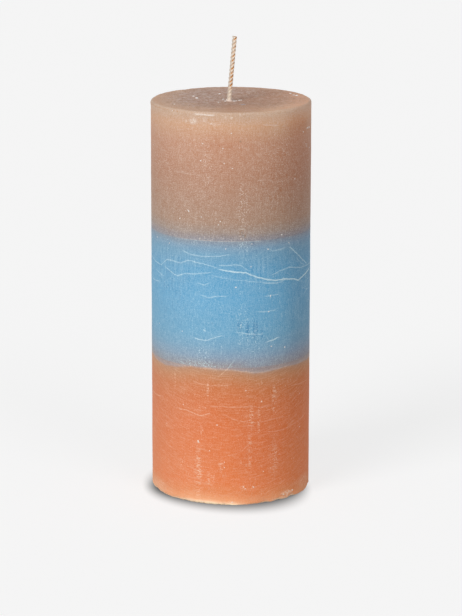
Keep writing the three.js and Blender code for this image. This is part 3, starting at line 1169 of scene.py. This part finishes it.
@dataclass
class Pour:
    """What the three pours of wax share: a turned body with the wick's bore through it."""

    name: str
    node: str
    slot: str
    finish: WaxFinish
    facets: int = 320
    quad: float = 0.7 * MM
    joint_steps: int = 8
    bore_rows: int = 6
    bore: float = WICK_RADIUS + CLEARANCE
    unevenness: float = 0.16 * MM
    seam_margin: float = 2.5 * MM
    face_margin: float = 3 * MM
    lean_reach: float = 0.2 * MM
    lean_band: float = 0.1 * MM

    def joint(self, seam: float) -> list[Stop]:
        """Works out the swelled joint at a seam, from its wall in to the bore.

        Args:
            seam: The seam's height at the wall.

        Returns:
            Its stops.
        """
        inward = [step / self.joint_steps for step in range(1, self.joint_steps + 1)]
        radii = [RADIUS + (self.bore - RADIUS) * share for share in inward]
        return [(radius, seam + swell(SINK_DEPTH, radius / RADIUS), 1) for radius in radii]

    def joint_below(self, seam: float) -> list[Stop]:
        """Stops down the bore to the joint at a seam, and along it out to the wall."""
        end, *others = reversed(self.joint(seam))
        return [(*end[:2], self.bore_rows), *others, (RADIUS, seam, 1)]

    def rows(self, length: float) -> int:
        """How many rows of quads a length of wall takes."""
        return max(round(length / self.quad), 1)

    def lean_bore(self, piece: Piece, reach: float, low: float, high: float) -> None:
        """Moves the end of the bore at a height sideways on to the slanted wick.

        Args:
            piece: The turned piece, in object mode.
            reach: The radius of what moves with the bore.
            low: The lowest height that moves.
            high: The highest height that moves.
        """
        Bench.edit(piece)
        Bench.pick(piece, lambda at: math.hypot(at.x, at.y) < reach and low <= at.z <= high)
        bpy.ops.transform.translate(value=(wick_centre((low + high) / 2), 0, 0))
        bpy.ops.object.mode_set(mode="OBJECT")

    def lean_joint(self, piece: Piece, seam: float) -> None:
        """Moves the bore's ring at the top of a joint on to the wick."""
        top = seam + SINK_DEPTH
        self.lean_bore(piece, self.bore + self.lean_reach, top - self.lean_band, top + self.lean_band)

    def wall_weight(self, at: Vector) -> float:
        """How freely the wax may be uneven: on the wall, and not at a seam.

        Args:
            at: A place on the wax.

        Returns:
            The share, from 0 to 1.
        """
        off_seams = min(abs(at.z - BASE_SEAM), abs(at.z - TOP_SEAM)) / self.seam_margin
        on_wall = max(0.0, (math.hypot(at.x, at.y) - RADIUS + self.face_margin) / self.face_margin)
        return min(off_seams, 1.0) * min(on_wall, 1.0)

    def profile(self) -> list[Stop]:
        """Stops of the pour's closed outline, which each pour has its own way round."""
        raise NotImplementedError

    def shape(self, piece: Piece) -> None:
        """Gives the turned piece what isn't round, which each pour does in its own way."""
        raise NotImplementedError

    def build(self) -> None:
        """Models and hands over the pour."""
        piece = Bench.trace(self.name, self.profile())
        Bench.turn(self.facets)
        self.shape(piece)
        Bench.weather(piece, 14 * MM, self.unevenness, self.wall_weight)
        Bench.weather(piece, 2.5 * MM, self.unevenness / 4, self.wall_weight)
        Bench.smooth(piece)
        Bench.hand_over(piece, self.finish, self.slot, self.node)


@dataclass
class BasePour(Pour):
    """The orange foot of the candle, with its worn edge and the sustainer's pocket."""

    edge_width: float = 1.4 * MM
    edge_height: float = 1.6 * MM
    edge_steps: int = 7
    edge_unevenness: float = 0.45
    edge_crumble: float = 0.55
    least_edge: float = 0.25
    lobes: tuple[Triple, ...] = ((0.4, 3, 0.6), (0.35, 7, 2.1), (0.25, 13, 4))
    crumbles: tuple[Triple, ...] = ((1, 0, 11), (0.6, 1, 31))
    pocket_mouth: float = PLATE_RADIUS + CLEARANCE
    mouth_slope: float = 0.25 * MM
    neck_room: float = NECK_OUTER * CRIMP_ROOM + CLEARANCE
    root_radius: float = 0.5 * MM
    chips: tuple[Chip, ...] = (
        Chip(-70, 16, 0.7), Chip(-53, 7, 0.5), Chip(-43, 6, 0.25), Chip(5, 9, -0.35),
        Chip(27, 5, 0.35), Chip(38, 7, 0.5), Chip(52, 7, 0.35), Chip(68, 16, -0.75),
        Chip(120, 10, 0.7), Chip(-150, 12, 0.6),
    )

    def profile(self) -> list[Stop]:
        """Works out the outline from the foot's edge, up and over, and back by the pocket.

        Returns:
            Its stops.
        """
        ceiling = PLATE_TOP + PLATE_RISE + CLEARANCE
        neck_ceiling = NECK_TOP + CLEARANCE
        edge = [
            (RADIUS - self.edge_width * (1 - sine), self.edge_height * (1 - cosine), 1)
            for cosine, sine in quarter(self.edge_steps)
        ]
        return [
            (RADIUS, self.edge_height, 1),
            (RADIUS, BASE_SEAM, self.rows(BASE_SEAM - self.edge_height)),
            *self.joint(BASE_SEAM),
            (self.bore, neck_ceiling, 4),
            (self.neck_room, neck_ceiling, 1),
            (self.neck_room, ceiling + self.root_radius, 3),
            (self.neck_room + self.root_radius, ceiling, 2),
            (SLOPE_OUTER, ceiling, 3),
            ((PLATE_RADIUS + SLOPE_OUTER) / 2, PLATE_TOP, 2),
            (self.pocket_mouth, PLATE_TOP, 2),
            (self.pocket_mouth, self.mouth_slope, 2),
            (self.pocket_mouth + self.mouth_slope, 0, 2),
            (RADIUS - self.edge_width, 0, 16),
            *edge,
        ]

    def edge_size(self, angle: float) -> float:
        """How large the worn edge is at an angle, as a share of its mean size.

        Args:
            angle: The angle round Z from +X, in radians.

        Returns:
            The share.
        """
        waves = sum(part * math.cos(count * angle + phase) for part, count, phase in self.lobes)
        from_front = (math.degrees(angle) + 90 + 180) % 360 - 180
        bites = sum(chip.bite * bump_at(from_front, chip.angle, chip.half_width) for chip in self.chips)
        crumbly = sum(
            part * noise.noise(Vector((math.cos(angle), math.sin(angle), level)) * count)
            for part, level, count in self.crumbles
        )
        size = 1 + self.edge_unevenness * waves + bites + self.edge_crumble * crumbly
        return max(size, self.least_edge)

    def shape(self, piece: Piece) -> None:
        """Leans the bore, and stretches the foot's edge away from the corner of wall and floor.

        Args:
            piece: The turned piece, in object mode.
        """
        self.lean_joint(piece, BASE_SEAM)
        for vertex in piece.data.vertices:
            at = vertex.co
            radius = math.hypot(at.x, at.y)
            if radius < RADIUS - self.edge_width - NEAR or at.z > self.edge_height + NEAR:
                continue
            size = self.edge_size(math.atan2(at.y, at.x))
            worn = (RADIUS - (RADIUS - radius) * size) / radius
            vertex.co = (at.x * worn, at.y * worn, at.z * size)


@dataclass
class MiddlePour(Pour):
    """The blue middle of the candle."""

    def profile(self) -> list[Stop]:
        """Stops up the wall, in to the bore and back out."""
        wall = [(RADIUS, BASE_SEAM, 1), (RADIUS, TOP_SEAM, self.rows(TOP_SEAM - BASE_SEAM))]
        return wall + self.joint(TOP_SEAM) + self.joint_below(BASE_SEAM)

    def shape(self, piece: Piece) -> None:
        """Leans the bore at both of its ends."""
        self.lean_joint(piece, BASE_SEAM)
        self.lean_joint(piece, TOP_SEAM)


@dataclass
class TopPour(Pour):
    """The tan top of the candle, with its rounded shoulder, dished face and wick collar."""

    shoulder: float = 1.2 * MM
    shoulder_steps: int = 6
    dish_rows: int = 44
    collar_reach: float = 0.6 * MM
    collar_height: float = 0.8 * MM
    collar_steps: int = 6
    lip: float = WICK_RADIUS + 0.03 * MM

    def face_height(self, radius: float) -> float:
        """Height of the dished face at a radius."""
        return TOP - swell(DISH_DEPTH, radius / (RADIUS - self.shoulder))

    def profile(self) -> list[Stop]:
        """Works out the outline up the wall, over the face to the wick, and back down.

        Returns:
            Its stops.
        """
        wall_top = TOP - self.shoulder
        inner = RADIUS - self.shoulder
        collar_foot = self.lip + self.collar_reach
        stops = [(RADIUS, TOP_SEAM, 1), (RADIUS, wall_top, self.rows(wall_top - TOP_SEAM))]
        for cosine, sine in quarter(self.shoulder_steps):
            stops.append((inner + self.shoulder * cosine, wall_top + self.shoulder * sine, 1))
        for step in range(1, self.dish_rows + 1):
            radius = inner + (collar_foot - inner) * step / self.dish_rows
            stops.append((radius, self.face_height(radius), 1))
        for step in range(1, self.collar_steps + 1):
            inward = step / self.collar_steps
            radius = collar_foot - self.collar_reach * inward
            stops.append((radius, self.face_height(radius) + self.collar_height * inward**2, 1))
        return stops + self.joint_below(TOP_SEAM)

    def face_weight(self, at: Vector) -> float:
        """How freely the top face may be uneven: not at the collar."""
        off_wick = (math.hypot(at.x, at.y) - 4 * MM) / (3 * MM)
        return min(max(off_wick, 0.0), 1.0) if at.z > TOP - 2 * MM else 0.0

    def shape(self, piece: Piece) -> None:
        """Leans the bore at both of its ends, the collar with it, and roughens the face.

        Args:
            piece: The turned piece, in object mode.
        """
        collar_reach = self.lip + self.collar_reach + self.lean_band
        self.lean_bore(piece, collar_reach, WICK_EXIT - 1 * MM, WICK_EXIT + 3 * MM)
        self.lean_joint(piece, TOP_SEAM)
        Bench.weather(piece, 5 * MM, 0.35 * MM, self.face_weight)
        Bench.weather(piece, 1.4 * MM, 0.14 * MM, self.face_weight)


@dataclass
class Wick:
    """The cotton wick: strands twisted round each other, with wax between them."""

    strands: int = 3
    strand_radius: float = 0.62 * MM
    strand_offset: float = 0.40 * MM
    strand_facets: int = 16
    fill_radius: float = 0.88 * MM
    fill_facets: int = 24
    fill_inset: float = 0.1 * MM
    fill_lift: float = 0.2 * MM
    fill_drop: float = 0.25 * MM
    soaked_height: float = 5 * MM
    step: float = 0.3 * MM
    tip_cut: float = math.radians(12)

    def heights(self) -> list[float]:
        """Works out the heights of the rings.

        Returns:
            The heights, from the sustainer to the tip.
        """
        count = round((WICK_TOP - WICK_EXIT) / self.step)
        shown = [WICK_EXIT + (WICK_TOP - WICK_EXIT) * index / count for index in range(count + 1)]
        return [WICK_FOOT, NECK_TOP, *shown]

    def fill_at(self, height: float) -> float:
        """Radius of the wax that fills the grooves, which stands full where the wick is soaked.

        Args:
            height: Height above the floor.

        Returns:
            The radius there.
        """
        above = min(max(height - WICK_EXIT, 0) / self.soaked_height, 1)
        full = WICK_RADIUS + 0.02 * MM
        return full + (self.fill_radius - full) * above * above * (3 - 2 * above)

    def grow(self, twist: bool) -> None:
        """Extrudes the open rings up the wick's path.

        Args:
            twist: Whether they turn as the strands do, or else widen as the wax does.
        """
        heights = self.heights()
        for low, high in zip(heights, heights[1:]):
            centre = (wick_centre(high), 0, high)
            shift = (wick_centre(high) - wick_centre(low), 0, high - low)
            bpy.ops.mesh.extrude_region_move(TRANSFORM_OT_translate={"value": shift})
            if not twist:
                scale = self.fill_at(high) / self.fill_at(low)
                bpy.ops.transform.resize(value=(scale, scale, 1), center_override=centre)
            elif low >= WICK_EXIT:
                turn = FULL_TURN * (high - low) / WICK_LAY
                bpy.ops.transform.rotate(value=-turn, orient_axis="Z", center_override=centre)

    def cut_tip(self, piece: Piece) -> None:
        """Slants the last ring, closes both ends and leaves edit mode.

        Args:
            piece: The piece, in edit mode.
        """
        slope = math.tan(self.tip_cut)
        mesh = bmesh.from_edit_mesh(piece.data)
        for vertex in mesh.verts:
            if vertex.co.z > WICK_TOP - NEAR:
                vertex.co.z -= slope * (vertex.co.x - wick_centre(WICK_TOP))
        bmesh.update_edit_mesh(piece.data)
        bpy.ops.mesh.select_all(action="DESELECT")
        bpy.ops.mesh.select_non_manifold()
        bpy.ops.mesh.edge_face_add()
        Bench.close()

    def make(self, name: str, facets: int, radius: float, rings: Sequence[Vector], twist: bool) -> Piece:
        """Models one closed piece of the wick from rings at its foot.

        Args:
            name: The new piece's name.
            facets: How many sides each ring has.
            radius: The radius of a ring.
            rings: Their middles.
            twist: Whether the piece turns as it rises, or else widens.

        Returns:
            The piece, in object mode.
        """
        Bench.clear()
        piece = None
        for middle in rings:
            bpy.ops.mesh.primitive_circle_add(vertices=facets, radius=radius, location=middle)
            piece = piece or Bench.start(name)
        bpy.ops.mesh.select_all(action="SELECT")
        self.grow(twist)
        if not twist:
            bpy.ops.transform.translate(value=(0, 0, -self.fill_drop))
        self.cut_tip(piece)
        return piece

    def build(self) -> None:
        """Models and hands over the wick."""
        turns = [FULL_TURN * index / self.strands for index in range(self.strands)]
        foot = Vector((0, 0, WICK_FOOT))
        rings = [foot + Vector((math.cos(turn), math.sin(turn), 0)) * self.strand_offset for turn in turns]
        piece = self.make("twisted_wick", self.strand_facets, self.strand_radius, rings, True)
        wax_foot = foot + Vector((0, 0, self.fill_lift))
        wax_radius = self.fill_at(WICK_FOOT) - self.fill_inset
        wax = self.make("wick_wax", self.fill_facets, wax_radius, [wax_foot], False)
        Bench.take(wax, piece)
        bpy.ops.object.join()
        Bench.smooth(piece, 50)
        Bench.hand_over(piece, CottonFinish(), "cotton", "wick")


@dataclass
class Sustainer:
    """The pressed steel foot plate, with its neck crimped on the wick."""

    facets: int = 128
    root_radius: float = 0.5 * MM
    crimp_length: float = 2.4 * MM
    crimp_below_rim: float = 0.9 * MM
    crimp_squeeze: float = 0.154
    crimp_rings: int = 8
    edge_round: float = 0.1 * MM

    def build(self) -> None:
        """Models and hands over the sustainer."""
        crimp_top = NECK_TOP - self.crimp_below_rim
        crimp_foot = crimp_top - self.crimp_length
        upper = PLATE_TOP + PLATE_RISE
        lower = PLATE_UNDERSIDE + PLATE_RISE
        mid_edge = (PLATE_RADIUS, PLATE_UNDERSIDE + SHEET / 2, 1)
        stops = [
            mid_edge,
            (PLATE_RADIUS, PLATE_TOP, 1),
            (SLOPE_OUTER, PLATE_TOP, 2),
            (SLOPE_INNER, upper, 2),
            (NECK_OUTER, upper, 4),
            (NECK_OUTER, crimp_foot, 2),
            (NECK_OUTER, crimp_top, self.crimp_rings),
            (NECK_OUTER, NECK_TOP, 2),
            (NECK_BORE, NECK_TOP, 1),
            (NECK_BORE, crimp_top, 2),
            (NECK_BORE, crimp_foot, self.crimp_rings),
            (NECK_BORE, lower, 3),
            (SLOPE_INNER, lower, 4),
            (SLOPE_OUTER, PLATE_UNDERSIDE, 2),
            (PLATE_RADIUS, PLATE_UNDERSIDE, 2),
            mid_edge,
        ]
        piece = Bench.trace("steel_sustainer", stops)
        bpy.ops.mesh.remove_doubles(threshold=0.001 * MM)
        self.round_corner(piece, NECK_OUTER, upper, self.root_radius)
        for radius, height in (
            (PLATE_RADIUS, PLATE_TOP), (PLATE_RADIUS, PLATE_UNDERSIDE), (NECK_OUTER, NECK_TOP),
            (NECK_BORE, NECK_TOP), (SLOPE_OUTER, PLATE_TOP), (SLOPE_INNER, upper),
            (SLOPE_OUTER, PLATE_UNDERSIDE), (SLOPE_INNER, lower), (NECK_BORE, lower),
        ):
            self.round_corner(piece, radius, height, self.edge_round)
        bpy.ops.mesh.select_all(action="SELECT")
        Bench.turn(self.facets)
        self.crimp(piece, crimp_foot, crimp_top)
        Bench.smooth(piece, 60)
        Bench.hand_over(piece, TinplateFinish(), "tinplate", "wick_sustainer")

    @staticmethod
    def round_corner(piece: Piece, radius: float, height: float, roundness: float) -> None:
        """Rounds one corner of the open profile.

        Args:
            piece: The piece, in edit mode.
            radius: The corner's distance from the axis.
            height: Its height.
            roundness: The size of the round.
        """
        corner = Vector((radius, 0, height))
        Bench.pick(piece, lambda at: (at - corner).length < NEAR)
        bpy.ops.mesh.bevel(offset=roundness, segments=4, affect="VERTICES", profile=0.5)

    def crimp(self, piece: Piece, low: float, high: float) -> None:
        """Squeezes the neck from two sides, ring by ring.

        Args:
            piece: The turned piece, in object mode.
            low: Where the crimp begins.
            high: Where it ends.
        """
        Bench.edit(piece)
        for ring in range(self.crimp_rings + 1):
            share = ring / self.crimp_rings
            height = low + (high - low) * share
            squeeze = self.crimp_squeeze * (1 - abs(2 * share - 1))
            Bench.pick(
                piece,
                lambda at, level=height: abs(at.z - level) < 2 * NEAR
                and math.hypot(at.x, at.y) < NECK_OUTER + NEAR,
            )
            shape = (1 - squeeze, 1 + squeeze, 1)
            bpy.ops.transform.resize(value=shape, center_override=(0, 0, height))
        bpy.ops.object.mode_set(mode="OBJECT")


@dataclass(frozen=True)
class Fleck:
    """A crumb that sticks on the wall: its place, its size in millimetres and its slant."""

    angle: float
    height: float
    length: float = 0.5
    thickness: float = 0.45
    slant: float = 0.0


FLECKS = (
    Fleck(-20.2, 160.2), Fleck(-5.6, 158.5), Fleck(-21.7, 152.8, 0.9), Fleck(-4.7, 152.1),
    Fleck(0.2, 165.1), Fleck(-46, 173.1), Fleck(51.8, 142.9), Fleck(1.1, 149.9),
    Fleck(63.1, 162.4, 0.9, 0.5, 40), Fleck(-74.3, 155.5), Fleck(-31.3, 130.4, 1.4, 0.5, 50),
    Fleck(-38.8, 126.6, 1.0, 0.5, -45), Fleck(-21.3, 128.3), Fleck(-7.4, 126.8), Fleck(-8.8, 125.3),
    Fleck(14.9, 116.8), Fleck(-3.6, 114.8), Fleck(-49.6, 114.7), Fleck(-65.8, 115.6),
    Fleck(38.8, 119.5, 0.8), Fleck(45.7, 115.4), Fleck(27.2, 113.9, 0.8), Fleck(14.3, 106.8),
    Fleck(3.6, 97.9, 0.8, 0.6), Fleck(-37, 76.8), Fleck(-63.4, 77.3),
    Fleck(42.2, 69.2, 0.9, 0.5, -40), Fleck(30.2, 70.6, 0.9, 0.5, 40), Fleck(28, 86.2, 0.8),
    Fleck(29.3, 93.2, 1.1, 0.5, 90), Fleck(-36.2, 43.9), Fleck(-9.7, 36.3, 0.8),
    Fleck(-23.8, 28.2, 1.4, 0.8, 80), Fleck(-53.2, 33.4), Fleck(22.6, 46.4, 0.9, 0.5, -45),
    Fleck(10.9, 51.8), Fleck(-15.2, 24.5), Fleck(-4.4, 19.6), Fleck(-4.4, 17.2), Fleck(24.2, 14.6),
    Fleck(16.6, 7.9, 1.0, 0.5, 50), Fleck(9.4, 8.3, 0.6), Fleck(10.6, 7.4, 0.6),
    Fleck(51.3, 3.1, 1.1, 0.7), Fleck(41.8, 2.3, 0.9), Fleck(45.4, 1.6), Fleck(49.8, 1.4),
    Fleck(-20.5, 0.9), Fleck(1.3, 1.4, 0.8), Fleck(59.9, 46.1), Fleck(60.3, 30.9),
    Fleck(67.8, 156.7, 1.0, 0.4, 30), Fleck(69.7, 155.4, 1.2, 0.4, 50),
    Fleck(76.4, 154.3, 1.0, 0.4, 20), Fleck(71, 163.4, 1.4, 0.5), Fleck(76, 163.2, 1.4, 0.5),
)

# Crumbs on the top face: (across, depth, length), in millimetres from its middle
FACE_CRUMBS = (
    (-5.1, 16.2, 1.1), (-16.5, 9.3, 1.0), (-15.0, 5.2, 1.3), (-3.4, 3.5, 1.0), (-1.9, 2.4, 0.9),
    (-0.5, 1.4, 0.9), (1.3, -1.3, 1.0), (2.2, -0.4, 0.8), (3.6, 0.8, 0.9), (4.4, 1.4, 0.8),
    (-2.6, -1.2, 0.9), (28.8, 9.7, 1.2), (27.5, 10.8, 1.0), (26.2, 15.4, 1.0), (-24.4, -13.7, 0.8),
    (-5.5, -5.1, 0.7),
)


@dataclass
class Crumbs:
    """Crumbs of wax that stick on the wall and lie on the top face, all joined in one piece."""

    seed: int = 11
    strays: int = 40
    stand: float = 0.45
    stray_angles: Place = (90, 270)
    stray_lengths: Place = (0.4, 1.2)
    stray_heights: Place = (2, 170)
    stray_slants: Place = (-60, 60)
    stray_thickness: float = 0.5
    lying_turns: Place = (-0.5, 0.5)
    lying_shape: Triple = (1, 0.9, 0.55)
    lying_lift: float = 0.1 * MM

    def make_first(self) -> Piece:
        """Models the crumb that all the others are copied from.

        Returns:
            The crumb, one millimetre across, in object mode.
        """
        Bench.clear()
        bpy.ops.mesh.primitive_ico_sphere_add(subdivisions=2, radius=0.5 * MM)
        crumb = Bench.start("wax_crumbs")
        bpy.ops.transform.vertex_random(offset=0.07 * MM, seed=self.seed)
        Bench.close()
        return crumb

    @staticmethod
    def lay(crumb: Piece, at: Matrix, size: Sequence[float]) -> None:
        """Copies the crumb, with a mesh of its own, and sets the copy down.

        Args:
            crumb: The crumb that is copied.
            at: Where the copy goes and how it is turned.
            size: Its size along its three axes, in millimetres.
        """
        Bench.take(crumb)
        bpy.ops.object.duplicate(linked=False)
        bpy.context.object.matrix_world = at @ Matrix.Diagonal((*size, 1))
        bpy.ops.object.transform_apply(location=True, rotation=True, scale=True)

    def stick(self, crumb: Piece, fleck: Fleck) -> None:
        """Sets one copy on the wall, half sunk.

        Args:
            crumb: The crumb that is copied.
            fleck: Where the copy sticks.
        """
        turned = Matrix.Rotation(math.radians(fleck.angle), 4, "Z")
        outward = Matrix.Translation((0, -RADIUS, fleck.height * MM))
        slanted = Matrix.Rotation(math.radians(fleck.slant), 4, "Y")
        stand = self.stand * fleck.thickness
        self.lay(crumb, turned @ outward @ slanted, (fleck.length, stand, fleck.thickness))

    def build(self) -> None:
        """Models and hands over the crumbs."""
        chance = random.Random(self.seed)
        crumb = self.make_first()
        for fleck in FLECKS:
            self.stick(crumb, fleck)
        for _ in range(self.strays):
            angle = chance.uniform(*self.stray_angles)
            length = chance.uniform(*self.stray_lengths)
            height = chance.uniform(*self.stray_heights)
            slant = chance.uniform(*self.stray_slants)
            self.stick(crumb, Fleck(angle, height, length, self.stray_thickness, slant))
        for across, depth, length in FACE_CRUMBS:
            place = Matrix.Translation((across * MM, depth * MM, self.face_height(across, depth)))
            turned = Matrix.Rotation(chance.uniform(*self.lying_turns), 4, "Z")
            self.lay(crumb, place @ turned, [length * share for share in self.lying_shape])
        copies = [piece for piece in bpy.context.scene.objects if piece.name.startswith("wax_crumbs.")]
        Bench.take(*reversed(copies))
        bpy.ops.object.join()
        joined = bpy.context.object
        bpy.data.objects.remove(crumb)
        joined.name = "wax_crumbs"
        Bench.smooth(joined, 50)
        Bench.hand_over(joined, CrumbFinish(), "tan_wax")

    def face_height(self, across: float, depth: float) -> float:
        """Height of the dished top face at a place in millimetres."""
        return TOP - swell(DISH_DEPTH, math.hypot(across, depth) * MM / RADIUS) + self.lying_lift


@dataclass
class Studio:
    """The camera, the pale floor and the soft light of a product photograph."""

    distance: float = 1.279
    rise: float = 0.38468
    aside: float = 0.0001
    tilt: float = math.radians(90 - 13.379)
    roll: float = math.radians(0.087)
    lens: float = 173.455
    backdrop: float = 0.913
    ambient: float = 0.24
    floor_light: float = 0.763
    floor_grey: Colour = (0.22, 0.22, 0.22)
    floor_bounce: float = 0.8
    floor_size: float = 16.0
    floor_drop: float = 0.02 * MM
    shadow_middle: Place = (-1.7 * MM, -5.7 * MM)
    shadow_radius: float = 34.5 * MM
    shadow_fade: Place = (-4.6 * MM, 4.0 * MM)
    shadow_core: float = 0.1
    shadow_slant: float = 0.374
    shadow_twist: float = 1.8
    shadow_shift: float = 4 * MM

    def build(self) -> None:
        """Makes the camera, the world, the lamps and the floor."""
        self.make_camera()
        self.make_world()
        self.make_lamp("key_light", angle=-40, strength=2.0)
        self.make_lamp("fill_light", angle=35, strength=0.72)
        self.make_floor()

    def make_camera(self) -> None:
        """The camera, which looks down a little and stands straight in front."""
        camera = bpy.data.cameras.new("camera")
        camera.lens = self.lens
        camera.sensor_width = 36
        camera.clip_end = 50
        holder = bpy.data.objects.new("camera", camera)
        turned = Matrix.Rotation(self.tilt, 4, "X") @ Matrix.Rotation(self.roll, 4, "Z")
        holder.matrix_world = Matrix.Translation((self.aside, -self.distance, self.rise)) @ turned
        bpy.context.scene.collection.objects.link(holder)
        bpy.context.scene.camera = holder
        bpy.context.scene.view_settings.view_transform = "Standard"

    @staticmethod
    def split(graph: Graph, unseen: Socket, seen: Socket, kind: str) -> None:
        """Finishes a tree with one shader for the light and another for the camera.

        Args:
            graph: The graph of the tree.
            unseen: The shader that lights the candle.
            seen: The one for rays from the camera, mirrored or let through ones too.
            kind: The type of the tree's output node.
        """
        names = ("Is Camera Ray", "Is Glossy Ray", "Is Transmission Ray")
        camera, glossy, through = [graph.add("LightPath", {}, name) for name in names]
        share = camera.most(glossy).most(through)
        graph.finish(graph.add("MixShader", {0: share, 1: unseen, 2: seen}), kind)

    def make_world(self) -> None:
        """A dim even light from all round, behind which the backdrop shows pale grey."""
        world = bpy.data.worlds.new("studio")
        bpy.context.scene.world = world
        graph = Graph(world)
        light = graph.add("Background", {"Color": WHITE, "Strength": self.ambient})
        shown = graph.add("Background", {"Color": WHITE, "Strength": self.backdrop})
        self.split(graph, light, shown, "OutputWorld")

    @staticmethod
    def make_lamp(name: str, angle: float, strength: float, above: float = 30, width: float = 30) -> None:
        """A broad, far lamp.

        Args:
            name: The lamp's name.
            angle: Its side, in degrees from the front, + to the right.
            strength: Its strength.
            above: Its height, in degrees above the floor.
            width: Its width, in degrees.
        """
        lamp = bpy.data.lights.new(name, "SUN")
        lamp.energy = strength
        lamp.angle = math.radians(width)
        holder = bpy.data.objects.new(name, lamp)
        holder.rotation_euler = (math.radians(90 - above), 0, math.radians(angle))
        bpy.context.scene.collection.objects.link(holder)

    def make_floor(self) -> None:
        """A wide pale floor, with a contact shadow painted round the candle's foot."""
        Bench.clear()
        bpy.ops.mesh.primitive_plane_add(size=self.floor_size, location=(0, 0, -self.floor_drop))
        floor = bpy.context.object
        floor.name = "studio_floor"
        material = bpy.data.materials.new("pale_floor")
        graph = Graph(material)
        place = graph.place() - (*self.shadow_middle, 0.0)
        across = place.part("X")
        depth = place.part("Y")
        radius = (place * LEVEL_ONLY).length()
        side = across / radius
        front = depth / radius / self.shadow_slant
        spread = graph.add("Math", {0: side * side + front * front}, operation="SQRT")
        twist = (across * depth * self.shadow_twist).least(self.shadow_shift).most(-self.shadow_shift)
        outward = (radius - self.shadow_radius) / spread + twist
        # The contact shadow is painted from the floor's own coordinates into its glow; the faint lit part
        # also takes the real cast shadows
        shadow = self.shadow_core + (1 - self.shadow_core) * outward.rise(*self.shadow_fade)
        glow = graph.add("Emission", {"Color": graph.blend(shadow, BLACK, (self.floor_light,) * 3)})
        faint = graph.add("BsdfDiffuse", {"Color": graph.blend(shadow, BLACK, self.floor_grey)})
        bounce = graph.add("BsdfDiffuse", {"Color": (self.floor_bounce,) * 3})
        self.split(graph, bounce, graph.add("AddShader", {0: glow, 1: faint}), "OutputMaterial")
        floor.data.materials.append(material)


def main() -> None:
    """Builds the studio and the candle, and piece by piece."""
    logging.basicConfig(level=logging.INFO, format="%(name)s: %(message)s")
    Studio().build()
    orange = WaxFinish(
        "orange_wax", paint(246, 214, 188), (0.92, 0.76, 0.58), 0, 62,
        painted_sheen=0.075, grain=0.13, upright=0.07, level=0.14, level_bend=15 * MM, beading=0.7,
    )
    blue = WaxFinish(
        "blue_wax", paint(212, 236, 242), (0.70, 0.82, 0.89), 62, 118,
        painted_sheen=0.05, grain=0.18, upright=0.18, level=0.05, painted_side_shade=1.0,
    )
    tan = WaxFinish(
        "tan_wax", paint(238, 224, 212), (0.90, 0.67, 0.47), 118, 174,
        painted_sheen=0.055, grain=0.21, upright=0.14, level=0.07, painted_side_shade=0.6,
    )
    BasePour("orange_base", "base_wax_pour", "orange_wax", orange).build()
    MiddlePour("blue_middle", "middle_wax_pour", "blue_wax", blue).build()
    TopPour("tan_top", "top_wax_pour", "tan_wax", tan).build()
    Wick().build()
    Sustainer().build()
    Crumbs().build()


if __name__ == "__main__":
    main()
